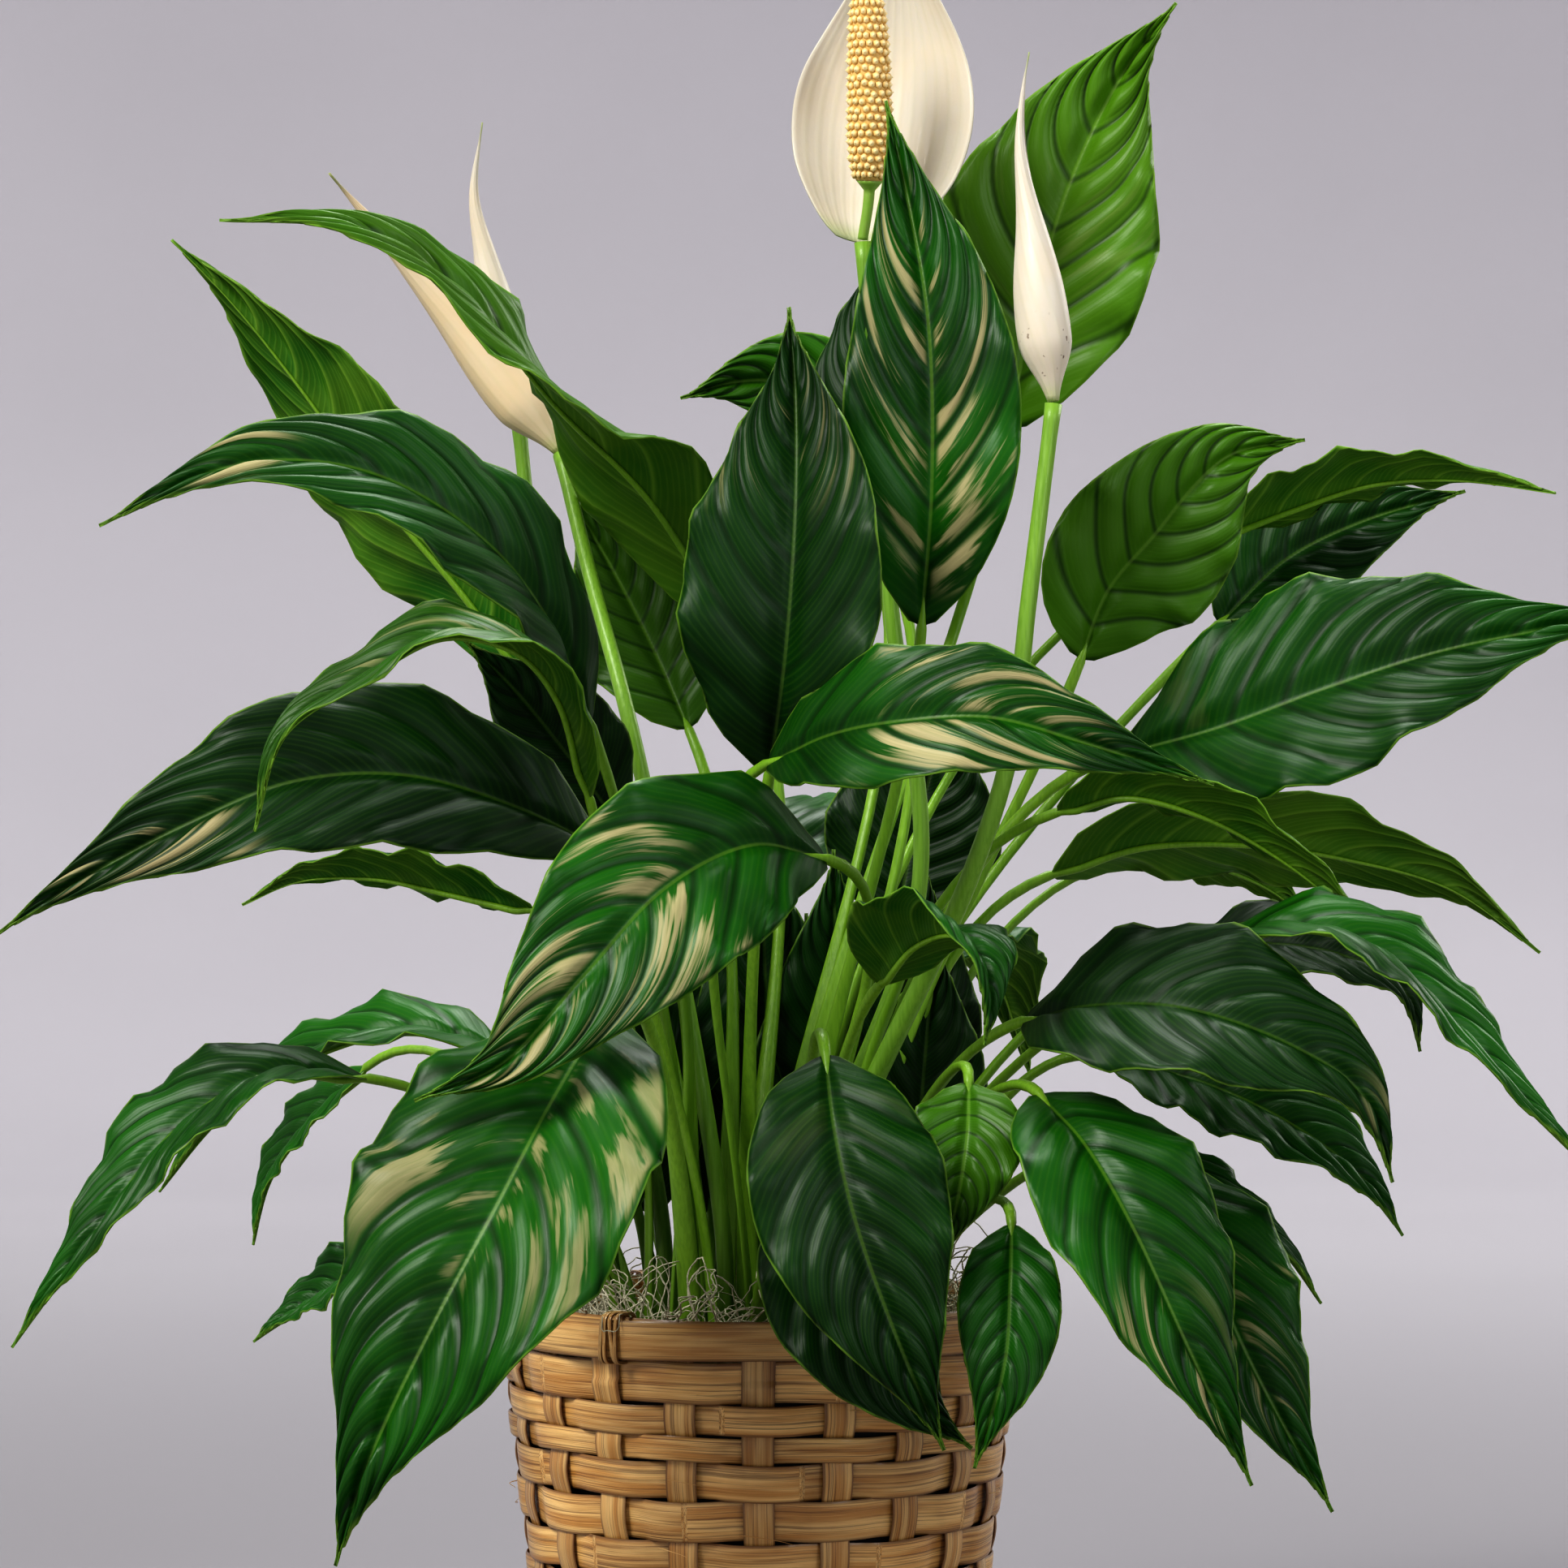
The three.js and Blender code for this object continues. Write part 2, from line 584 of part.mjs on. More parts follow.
function mossMat() {
  const bottom = soilTop + gap;
  const middle = (mossInnerRadius + mossOuterRadius) / 2;
  return turned("moss_mat", [
    [mossInnerRadius, bottom],
    [mossOuterRadius - 0.6, bottom],
    [mossOuterRadius, mossTop - 4],
    [mossOuterRadius - 3, mossTop],
    [middle, mossTop - 1],
    [mossInnerRadius + 1, bottom + 7],
  ]);
}

// ---------- the whole plant ----------
const plant = new THREE.Group();
plant.name = "potted_peace_lily";

plant.add(basketBody());
plant.add(rimHoop("rim_hoop_outer", outerHoopInside, outerHoopThickness));
plant.add(rimHoop("rim_hoop_inner", innerHoopInside, innerHoopThickness));
for (const [side, bearing] of Object.entries(lashingBearings))
  plant.add(rimLashing(`rim_lashing_${side}`, bearing));
plant.add(linerPot(), soil(), mossMat());

for (const leaf of leaves) plant.add(leafMesh(leaf));
for (const scape of scapes) plant.add(scapeMesh(scape));
for (const bud of buds) plant.add(budMesh(bud));
plant.add(openSpathe(openBract));
plant.add(spadixMesh("flower_open_spadix", spadixSpine));

export default plant;
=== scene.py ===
"""A potted peace lily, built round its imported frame.

Lengths in this file are millimetres until a mesh is made, and the lily's frame has
its origin under the basket, +Z up and the front towards -Y. Bearings are degrees
round the pot from +X.
"""

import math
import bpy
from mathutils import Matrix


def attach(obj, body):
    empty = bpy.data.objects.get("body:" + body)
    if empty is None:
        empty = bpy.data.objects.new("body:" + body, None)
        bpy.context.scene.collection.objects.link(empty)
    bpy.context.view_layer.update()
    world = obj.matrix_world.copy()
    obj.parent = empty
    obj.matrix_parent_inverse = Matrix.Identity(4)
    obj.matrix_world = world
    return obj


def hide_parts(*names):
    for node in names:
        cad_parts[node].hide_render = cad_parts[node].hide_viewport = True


bl_info = {
    "name": "Potted Peace Lily",
    "version": (1, 0, 0),
    "blender": (4, 5, 0),
    "location": "View3D > Sidebar > Lily",
    "description": "Builds a peace lily in a woven bamboo basket from its frame",
    "category": "Object",
}

from collections import namedtuple

import bpy
import mathutils
import numpy as np

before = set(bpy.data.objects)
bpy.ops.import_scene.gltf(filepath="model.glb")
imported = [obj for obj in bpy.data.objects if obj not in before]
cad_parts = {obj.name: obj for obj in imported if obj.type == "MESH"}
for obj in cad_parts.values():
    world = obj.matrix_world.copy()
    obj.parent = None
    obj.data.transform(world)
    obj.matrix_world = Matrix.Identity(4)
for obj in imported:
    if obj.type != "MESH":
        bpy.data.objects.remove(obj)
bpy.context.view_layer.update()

MM = 0.001
UP = np.array((0.0, 0.0, 1.0))

# ---------- sizes taken over from the solids, in millimetres ----------
BASKET_HEIGHT = 150
RIM_RADIUS = 85.2
SIDE_TAPER = 0.12
WEAVE_THICKNESS = 3
HOOP_DEPTH = 13
LASHING_BEARINGS = {"front": 238, "right": 358, "back": 118}
LINER_TOP = 134
SOIL_TOP = 128
ROOT_RINGS = (0, 12, 24, 36, 47, 55)
STEM_START = SOIL_TOP + 0.3

Leaf = namedtuple("Leaf", "name ring bearing width facing fold spine twist", defaults=(0,))
Look = namedtuple("Look", "flecks start end right_share sunny deep",
                  defaults=(0.0, 0.3, 0.9, 1.0, 0.0, 0.0))
Stalk = namedtuple("Stalk", "name ring bearing radii through")
Furled = namedtuple("Furled", "name half lap taper twist facing tan spots spine")

# Each leaf: where its stem leaves the soil, the width of its blade, the way its upper
# side looks at the neck, the fold of its halves, points along its midrib, and any
# twist of its outer part in degrees.
LEAVES = (
    Leaf("crown_front", 1, 305, 56, (0, -1, 0.2), 20,
         ((51, -38, 364), (54, -46, 408), (53, -44, 460), (47, -34, 499), (40, -22, 533))),
    Leaf("crown_left", 1, 250, 64, (-0.2, -1, 0.3), 30,
         ((3, -72, 318), (8, -88, 356), (11, -84, 401), (11, -70, 437), (9, -58, 464))),
    Leaf("crown_right", 1, 64, 76, (-0.2, -1, 0.3), 14,
         ((82, 48, 432), (90, 52, 472), (103, 56, 516), (120, 54, 551), (137, 42, 573))),
    Leaf("crown_back", 1, 5, 50, (-0.7, -0.7, 0), 20,
         ((46, 20, 377), (36, 20, 412), (32, 25, 451), (37, 30, 478), (42, 30, 495))),
    Leaf("crown_rear", 1, 90, 50, (-0.4, -0.8, 0.4), 18,
         ((37, 70, 401), (27, 80, 432), (10, 86, 450), (-9, 84, 451), (-27, 78, 445))),
    Leaf("left_top", 1, 116, 56, (0.2, 0.9, 0.4), 8,
         ((-10, 58, 367), (-37, 34, 410), (-65, 8, 438), (-98, -14, 475), (-128, -26, 492),
          (-171, -34, 494)), 85),
    Leaf("left_high", 2, 148, 58, (0.4, 0.8, 0.5), 16,
         ((-78, 46, 350), (-97, 44, 377), (-125, 40, 410), (-152, 34, 447), (-172, 28, 472),
          (-192, 20, 493))),
    Leaf("left_upper", 2, 212, 52, (0.9, -0.4, 0.1), 18,
         ((-53, -42, 333), (-64, -62, 364), (-85, -79, 391), (-120, -92, 411), (-157, -98, 413),
          (-201, -100, 394))),
    Leaf("left_curl", 2, 234, 40, (0.88, 0.3, 0.2), 20,
         ((-52, -84, 310), (-60, -98, 341), (-73, -108, 356), (-95, -116, 360),
          (-120, -124, 346), (-142, -130, 330), (-151, -132, 301))),
    Leaf("left_wide", 3, 222, 57, (-0.2, -0.8, 0.6), 16,
         ((-49, -52, 295), (-75, -66, 308), (-109, -80, 318), (-143, -88, 316), (-175, -92, 303),
          (-207, -92, 286), (-234, -90, 269))),
    Leaf("left_under", 3, 175, 35, (0, 0.4, 0.9), 18,
         ((-73, 10, 274), (-100, 16, 280), (-126, 20, 285), (-151, 24, 284), (-170, 26, 276))),
    Leaf("left_inner", 2, 120, 48, (0, -0.9, 0.4), 18,
         ((-24, 56, 333), (-36, 68, 360), (-51, 76, 389), (-66, 80, 414))),
    Leaf("left_shade", 2, 190, 40, (0, -0.9, 0.4), 18,
         ((-45, -20, 302), (-61, -24, 324), (-78, -26, 345), (-94, -28, 361))),
    Leaf("left_arch", 4, 205, 44, (0, -0.3, 0.95), 18,
         ((-122, -56, 223), (-152, -70, 226), (-180, -82, 209), (-205, -90, 176),
          (-229, -92, 143))),
    Leaf("left_low_back", 4, 170, 45, (0, -0.3, 0.95), 18,
         ((-84, 20, 229), (-116, 26, 235), (-146, 32, 227), (-176, 36, 208), (-199, 38, 181))),
    Leaf("left_low_small", 4, 152, 30, (-0.2, -0.5, 0.85), 18,
         ((-134, 88, 219), (-153, 94, 202), (-168, 98, 181), (-174, 98, 158))),
    Leaf("left_low_tip", 5, 140, 40, (-0.2, -0.5, 0.85), 18,
         ((-121, 100, 157), (-139, 108, 148), (-156, 112, 137), (-175, 112, 124))),
    Leaf("front_left", 2, 288, 62, (-0.3, -0.85, 0.45), 10,
         ((21, -94, 292), (-1, -115, 297), (-28, -138, 284), (-52, -152, 258), (-75, -158, 233),
          (-101, -158, 222))),
    Leaf("front_left_low", 4, 243, 88, (-0.15, -0.8, 0.6), 10,
         ((-46, -112, 247), (-62, -146, 220), (-77, -166, 191), (-94, -176, 159),
          (-112, -180, 121), (-123, -176, 88))),
    Leaf("front_mid", 2, 262, 48, (0, -0.85, 0.5), 16,
         ((2, -92, 321), (21, -116, 330), (42, -134, 334), (69, -142, 335), (98, -142, 327),
          (136, -134, 315))),
    Leaf("front_fold", 3, 295, 45, (0.3, -0.3, 0.9), 24,
         ((37, -78, 253), (48, -100, 267), (60, -118, 270), (68, -130, 258), (68, -132, 237))),
    Leaf("front_low", 4, 284, 59, (0, -0.9, 0.4), 10,
         ((20, -118, 234), (23, -138, 210), (29, -148, 185), (40, -152, 154), (55, -148, 118))),
    Leaf("front_low_under", 4, 268, 50, (0, -0.9, 0.4), 10,
         ((17, -104, 194), (22, -120, 172), (34, -126, 148), (48, -128, 129), (64, -126, 116))),
    Leaf("front_small", 4, 298, 35, (0, -0.9, 0.4), 14,
         ((64, -96, 224), (63, -110, 209), (60, -115, 190), (56, -115, 173))),
    Leaf("front_gloss", 5, 303, 31, (0, -0.8, 0.6), 12,
         ((76, -120, 183), (75, -135, 167), (73, -142, 143), (64, -142, 112))),
    Leaf("right_low", 4, 315, 56, (0.25, -0.85, 0.45), 12,
         ((85, -100, 221), (98, -128, 207), (111, -144, 184), (126, -152, 151),
          (146, -150, 108))),
    Leaf("right_low_gloss", 4, 329, 47, (0.25, -0.85, 0.45), 12,
         ((124, -74, 199), (135, -98, 178), (143, -112, 153), (156, -118, 126), (173, -118, 96))),
    Leaf("right_low_curl", 4, 341, 28, (0.5, -0.3, 0.8), 24,
         ((108, -40, 204), (128, -54, 198), (145, -62, 186), (161, -66, 173), (175, -66, 154))),
    Leaf("right_low_back", 4, 353, 50, (0.2, -0.6, 0.8), 14,
         ((110, -20, 228), (140, -30, 221), (168, -38, 208), (188, -42, 193), (203, -42, 173))),
    Leaf("right_drape", 3, 318, 62, (0, -0.75, 0.65), 14,
         ((81, -82, 242), (100, -103, 248), (128, -120, 248), (160, -127, 237), (180, -129, 223),
          (190, -129, 196))),
    Leaf("right_dark", 3, 350, 40, (0.1, -0.6, 0.8), 16,
         ((133, -20, 262), (160, -34, 265), (185, -42, 261), (202, -46, 251), (208, -46, 231))),
    Leaf("right_long", 3, 334, 45, (0, -0.3, 0.95), 18,
         ((134, -78, 262), (161, -93, 272), (187, -101, 266), (211, -104, 243), (233, -104, 218),
          (254, -104, 197))),
    Leaf("right_arch", 2, 332, 40, (0, 0.4, 0.9), 18,
         ((93, -48, 306), (114, -58, 312), (138, -64, 306), (160, -66, 294), (178, -66, 280),
          (194, -66, 262))),
    Leaf("right_light", 3, 18, 50, (0, 0.6, 0.8), 16,
         ((94, 22, 285), (123, 26, 295), (158, 30, 296), (193, 32, 291), (227, 32, 281),
          (256, 30, 260))),
    Leaf("right_under", 3, 36, 35, (0, 0.5, 0.85), 18,
         ((126, 78, 289), (149, 90, 289), (171, 98, 281), (188, 100, 269))),
    Leaf("right_wide", 2, 344, 75, (0.1, -0.85, 0.5), 14,
         ((116, -14, 325), (145, -30, 333), (177, -42, 345), (210, -50, 356), (242, -54, 363),
          (273, -54, 368))),
    Leaf("right_back", 2, 56, 45, (0.2, -0.7, 0.6), 16,
         ((152, 54, 368), (175, 60, 390), (201, 62, 403), (235, 60, 413))),
    Leaf("right_edge", 1, 30, 40, (0, 0.35, 0.95), 18,
         ((145, 40, 395), (174, 34, 406), (200, 26, 414), (226, 18, 415), (258, 8, 410))),
    Leaf("right_upper", 2, 14, 56, (0.1, -0.95, 0.2), 16,
         ((104, 14, 355), (113, 12, 378), (128, 8, 396), (141, 6, 412), (153, 8, 422),
          (177, 12, 427))),
    Leaf("inner_back", 2, 78, 60, (0, -0.9, 0.4), 16,
         ((45, 66, 266), (50, 70, 292), (57, 73, 319), (65, 72, 346))),
    Leaf("back_mid", 3, 90, 55, (0, 0.5, 0.85), 16,
         ((6, 110, 278), (3, 140, 303), (0, 180, 305), (-2, 215, 267))),
    Leaf("back_right", 3, 60, 55, (0.3, 0.5, 0.8), 16,
         ((50, 105, 250), (65, 140, 263), (83, 170, 248), (96, 185, 210))),
)

# How a leaf's looks depart from the plain ones. The first four give its painted sheen,
# the reflection of light on the ridges between its veins, painted as cream flecks: how
# much, from where to where along the blade, and what share the right half keeps. sunny
# is painted light, how yellow and light a lit blade is made, and deep is painted shade,
# how dark a blade in shade is made.
LEAF_LOOKS = {
    "crown_front": Look(0.8, 0.1, 0.8, right_share=0.6),
    "crown_left": Look(0.3, 0.55, 0.95, deep=0.85),
    "crown_right": Look(0.15, 0.2, 0.6, sunny=0.7),
    "crown_back": Look(deep=0.9),
    "crown_rear": Look(sunny=0.2),
    "left_top": Look(sunny=0.45),
    "left_upper": Look(0.9, 0.72, 1.0, deep=0.45),
    "left_curl": Look(0.3, 0.2, 0.7, sunny=0.15, deep=0.25),
    "left_wide": Look(0.8, 0.62, 0.96, deep=0.8),
    "left_inner": Look(sunny=0.3, deep=0.5),
    "left_shade": Look(deep=1.0),
    "front_left": Look(0.95, 0.36, 0.95),
    "front_left_low": Look(0.38, 0.12, 0.55),
    "front_mid": Look(0.8, 0.35, 0.75, deep=0.25),
    "front_low": Look(0.1, 0.1, 0.3, deep=0.75),
    "front_low_under": Look(deep=0.7),
    "front_small": Look(sunny=0.4),
    "front_gloss": Look(deep=0.3),
    "right_low": Look(0.5, 0.55, 0.95, right_share=0.3),
    "right_low_gloss": Look(0.35, 0.3, 0.8),
    "right_drape": Look(0.3, 0.8, 1.0, deep=1.0),
    "right_dark": Look(deep=1.0),
    "right_wide": Look(0.12, 0.05, 0.3, deep=0.45),
    "right_back": Look(deep=0.6),
    "right_edge": Look(sunny=0.4),
    "right_light": Look(sunny=0.7),
    "right_arch": Look(sunny=0.4),
    "right_under": Look(sunny=0.5),
    "right_upper": Look(sunny=0.55),
    "inner_back": Look(deep=0.9),
}

STALKS = (
    Stalk("flower_open", 1, 340, (2.8, 2.4), ((51, -3, 280), (42, -2, 374), (33, 2, 490))),
    Stalk("bud_right", 2, 311, (3.6, 2.4),
          ((66, -50, 286), (78, -56, 324), (84, -56, 372), (92, -52, 434))),
    Stalk("bud_inner", 3, 152, (2.8, 2.4), ((-58, 60, 290), (-73, 84, 355), (-83, 98, 440))),
    Stalk("bud_outer", 1, 185, (2.8, 2.4),
          ((-36, 6, 306), (-43.7, 10, 339.8), (-56.7, 34, 385.7), (-66.7, 56, 424.6))),
)

OPEN_BRACT = {
    "width": 59,
    "facing": (-0.15, -1, 0.1),
    "fold": 26,
    "spine": ((33, 6.4, 490.4), (38, 18, 512), (43, 24, 550), (44, 18, 579), (44, 6, 601)),
}
SPIKE_SPINE = ((33, 1, 490.8), (35, -2, 505), (35, -6, 541), (34, -8, 574))

# Furled bracts: half width and half depth, how far the edge laps round in turns, the
# taper of the upper part, the twist from foot to tip in degrees, the way the middle of
# the outside looks, how tanned and how flecked they are, and points up their spine.
FURLED = (
    Furled("bud_right", (9, 8), 1.3, 0.35, 150, (0.2, -1, 0), 0.1, 1,
           ((92, -52, 434.8), (89, -50, 459), (86, -46, 485), (82, -42, 516), (83, -40, 534),
            (85, -38, 546))),
    Furled("bud_inner", (8, 7.5), 1.3, 0.25, 120, (0.3, -1, 0), 0.15, 0,
           ((-83, 98, 440.8), (-88, 100, 466), (-94, 100, 494), (-98, 98, 516), (-95, 94, 540))),
    Furled("bud_outer", (10, 7), 1.15, 0.1, 60, (0.5, -0.8, 0.3), 1.0, 0,
           ((-67.1, 56.4, 425.6), (-80.7, 60, 443.6), (-99.5, 62, 468.4), (-121.1, 60, 492.8),
            (-137.7, 54, 511.2), (-143.2, 48, 517.5))),
)


# ---------- settings a user would change ----------
def colour_setting(name, description, default):
    return bpy.props.FloatVectorProperty(
        name=name, description=description, default=default,
        subtype="COLOR", size=3, min=0.0, max=1.0,
    )


def length_setting(name, description, default):
    return bpy.props.FloatProperty(
        name=name, description=description, default=default * MM,
        min=0.0, precision=5, subtype="DISTANCE", unit="LENGTH",
    )


def count_setting(name, description, default):
    return bpy.props.IntProperty(name=name, description=description, default=default, min=1)


class LeafSettings(bpy.types.PropertyGroup):
    """Sizes and colours of the leaves"""

    upper_green: colour_setting("Upper side", "Colour of a plain upper side", (0.013, 0.125, 0.004))
    # Dark green: painted shade on blades in shade, in the vein grooves and low on the stems, and
    # also the dark mottling.
    deep_green: colour_setting("Deep green", "Colour of shaded old leaves", (0.001, 0.017, 0.001))
    # Pale yellow-green: painted light on lit blades, and also the real pale green of fine veins and
    # stem streaks.
    sunny_green: colour_setting("Sunny green", "Colour of young lit leaves", (0.12, 0.27, 0.01))
    # Partly the underside's own paler colour, partly painted light shining through the blade.
    under_green: colour_setting("Underside", "Colour of the matt underside", (0.085, 0.2, 0.012))
    rib_green: colour_setting("Midrib", "Colour of the rib and main veins", (0.24, 0.42, 0.05))
    stem_green: colour_setting("Stem", "Colour of the leaf stems", (0.25, 0.46, 0.03))
    # The cream of the painted sheen: the light's reflection between the veins, painted into the
    # colour as flecks.
    sheen_cream: colour_setting("Flecks", "Colour of the flecks between veins", (0.52, 0.44, 0.24))
    blade_thickness: length_setting("Blade thickness", "Thickness of a blade", 0.45)
    quilt_height: length_setting("Quilting", "Rise of the blade between veins", 2.7)
    ripple_height: length_setting("Ripple", "Height of the waves along a margin", 3.0)
    vein_pairs: count_setting("Vein pairs", "Main side veins on each half", 9)


class FlowerSettings(bpy.types.PropertyGroup):
    """Sizes and colours of the flowers"""

    bract_white: colour_setting("Bract", "Colour of a fresh bract", (0.67, 0.635, 0.54))
    bract_tan: colour_setting("Old bract", "Colour of an ageing bract", (0.74, 0.56, 0.33))
    bract_green: colour_setting("Bract tip", "Green at the tip and foot", (0.33, 0.44, 0.12))
    spike_gold: colour_setting("Spike", "Colour of the florets", (0.82, 0.56, 0.2))
    spike_pale: colour_setting("Floret tips", "Colour of the florets' tips", (0.9, 0.74, 0.4))
    stalk_green: colour_setting("Stalk", "Colour of the flower stalks", (0.24, 0.44, 0.05))
    bract_thickness: length_setting("Bract thickness", "Thickness of a bract", 0.6)
    floret_rows: count_setting("Floret rows", "Rings of florets up the spike", 24)
    floret_columns: count_setting("Floret columns", "Florets in one ring", 16)


class BasketSettings(bpy.types.PropertyGroup):
    """Sizes and colours of the basket"""

    honey: colour_setting("Honey", "Main colour of the split bamboo", (0.62, 0.315, 0.082))
    pale: colour_setting("Pale grain", "Light streaks in the bamboo", (0.98, 0.66, 0.27))
    dark: colour_setting("Dark grain", "Dark streaks in the bamboo", (0.11, 0.038, 0.006))
    strip_thickness: length_setting("Strip thickness", "Thickness of a strip", 1.1)
    strip_bow: length_setting("Strip bow", "How far a strip bows in and out", 1.55)
    upright_width: length_setting("Upright width", "Width of an upright strip", 10.7)
    uprights: count_setting("Uprights", "Upright strips round the basket", 20)


class GroundSettings(bpy.types.PropertyGroup):
    """The liner pot, soil and moss"""

    moss_pale: colour_setting("Moss", "Colour of the dry moss strands", (0.86, 0.81, 0.64))
    moss_dark: colour_setting("Moss shade", "Colour deep in the moss", (0.10, 0.085, 0.05))
    soil_brown: colour_setting("Soil", "Colour of the compost", (0.022, 0.014, 0.009))
    liner_black: colour_setting("Liner", "Colour of the plastic liner", (0.012, 0.012, 0.013))
    strand_thickness: length_setting("Strand", "Thickness of a moss strand", 0.7)
    strands: count_setting("Strands", "Number of loose moss strands", 420)


class StageSettings(bpy.types.PropertyGroup):
    """The floor and the camera"""

    floor_colour: colour_setting("Floor", "Colour of the floor", (0.215, 0.208, 0.22))
    wall_colour: colour_setting("Wall", "Colour where the floor curves up", (0.56, 0.545, 0.575))
    camera_distance: length_setting("Camera distance", "From the pot's axis to the camera", 1750)
    camera_height: length_setting("Camera height", "Height of the camera", 315)
    camera_offset: length_setting("Camera offset", "Camera to the right of the axis", 7.6)
    focal_length: bpy.props.FloatProperty(
        name="Focal length", description="Focal length on a 36 mm wide sensor, in millimetres",
        default=124.5, min=10.0,
    )


SETTINGS = {
    "lily_leaves": LeafSettings,
    "lily_flowers": FlowerSettings,
    "lily_basket": BasketSettings,
    "lily_ground": GroundSettings,
    "lily_stage": StageSettings,
}


# ---------- materials ----------
def math_method(operation, swapped=False):
    """A method that adds a Math node for its value and another value or number."""
    def method(self, other):
        return self.math(operation, *((other, self) if swapped else (self, other)))

    return method


class Value:
    """An output of a material's node. Sums on it add Math nodes."""

    def __init__(self, recipe, socket):
        self.recipe = recipe
        self.socket = socket

    def math(self, operation, *numbers):
        return self.recipe.node("Math", {"operation": operation}, dict(enumerate(numbers)))

    __add__ = math_method("ADD")
    __radd__ = math_method("ADD", swapped=True)
    __sub__ = math_method("SUBTRACT")
    __rsub__ = math_method("SUBTRACT", swapped=True)
    __mul__ = math_method("MULTIPLY")
    __rmul__ = math_method("MULTIPLY", swapped=True)
    __mod__ = math_method("FLOORED_MODULO")
    larger = math_method("MAXIMUM")

    def __abs__(self):
        return self.math("ABSOLUTE", self)

    def step(self, low, high):
        """0 below low, 1 above high and a smooth rise between."""
        return self.recipe.node(
            "MapRange", {"interpolation_type": "SMOOTHSTEP"},
            {"Value": self, "From Min": low, "From Max": high},
        )

    def from_whole(self):
        """How far it is from the nearest whole number."""
        return 0.5 - abs(self % 1.0 - 0.5)

    def line(self, width):
        """1 where it is a whole number, fading to 0 at a width away."""
        return 1 - self.from_whole().step(0.0, width)


class Recipe:
    """A procedural material."""

    def __init__(self, name):
        self.material = bpy.data.materials.new(name)
        self.material.use_nodes = True
        self.tree = self.material.node_tree
        self.tree.nodes.clear()

    def node(self, kind, settings=None, sockets=None, output=0):
        """Adds a node, sets it, fills its sockets with values or links, gives an output."""
        made = self.tree.nodes.new("ShaderNode" + kind)
        for key, setting in (settings or {}).items():
            setattr(made, key, setting)
        for key, given in (sockets or {}).items():
            if isinstance(given, Value):
                self.tree.links.new(given.socket, made.inputs[key])
            else:
                made.inputs[key].default_value = given
        return Value(self, made.outputs[output])

    def attribute(self, name):
        return self.node("Attribute", {"attribute_name": name}, output=2)

    def place(self):
        """The surface's place in the lily's frame, in metres."""
        return self.node("TexCoord", {}, {}, output=3)

    def noise(self, vector, scale, detail, roughness=0.55):
        return self.node("TexNoise", {}, {
            "Vector": vector, "Scale": scale, "Detail": detail, "Roughness": roughness,
        })

    def mottle(self, scale, detail, roughness=0.55):
        """Noise all through the surface's place."""
        return self.noise(self.place(), scale, detail, roughness)

    def figure(self, x, y, z, detail, roughness=0.55):
        """Noise that follows three values of the surface."""
        vector = self.node("CombineXYZ", {}, {0: x, 1: y, 2: z})
        return self.noise(vector, 1.0, detail, roughness)

    def mix(self, share, first, second):
        """Colour first where share is 0 and second where it is 1."""
        sockets = {0: share, 6: self.colour(first), 7: self.colour(second)}
        return self.node("Mix", {"data_type": "RGBA"}, sockets, output=2)

    def coats(self, colour, *coats):
        """A colour under coats, each with the share it covers and its own colour."""
        for share, laid_on in coats:
            colour = self.mix(share, colour, laid_on)
        return colour

    @staticmethod
    def colour(given):
        return given if isinstance(given, Value) else (*given, 1.0)

    def bump(self, height, distance):
        """Normals from a height between 0 and 1 that stands for distance in metres."""
        return self.node("Bump", {}, {"Height": height, "Distance": distance})

    def finish(self, sockets):
        """The material, with its surface's sockets filled."""
        shader = self.node("BsdfPrincipled", {}, sockets)
        output = self.tree.nodes.new("ShaderNodeOutputMaterial")
        self.tree.links.new(shader.socket, output.inputs["Surface"])
        return self.material


# ---------- paths, frames and meshes ----------
def unit(vectors):
    vectors = np.asarray(vectors, float)
    return vectors / np.linalg.norm(vectors, axis=-1, keepdims=True)


def smoothstep(low, high, value):
    share = np.clip((value - low) / (high - low), 0.0, 1.0)
    return share * share * (3 - 2 * share)


def turns(steps, whole=2 * math.pi):
    """Even steps round a whole turn, in radians, or in the unit of the whole given."""
    return np.linspace(0, whole, steps, endpoint=False)


def laid(at, right, face, across, above):
    """Points beside a path: across towards its right, and above along its face."""
    return at + right * across[..., None] + face * above[..., None]


def spread(values, rows, columns):
    """Each value given out over a grid of points."""
    return {
        key: np.broadcast_to(np.asarray(value, float), (rows, columns)).ravel()
        for key, value in values.items()
    }


def evenly(points, shares):
    """Points at shares of a polyline's length."""
    steps = np.linalg.norm(np.diff(points, axis=0), axis=1)
    reached = np.concatenate(([0.0], np.cumsum(steps)))
    wanted = np.asarray(shares) * reached[-1]
    return np.stack([np.interp(wanted, reached, points[:, axis]) for axis in range(3)], 1)


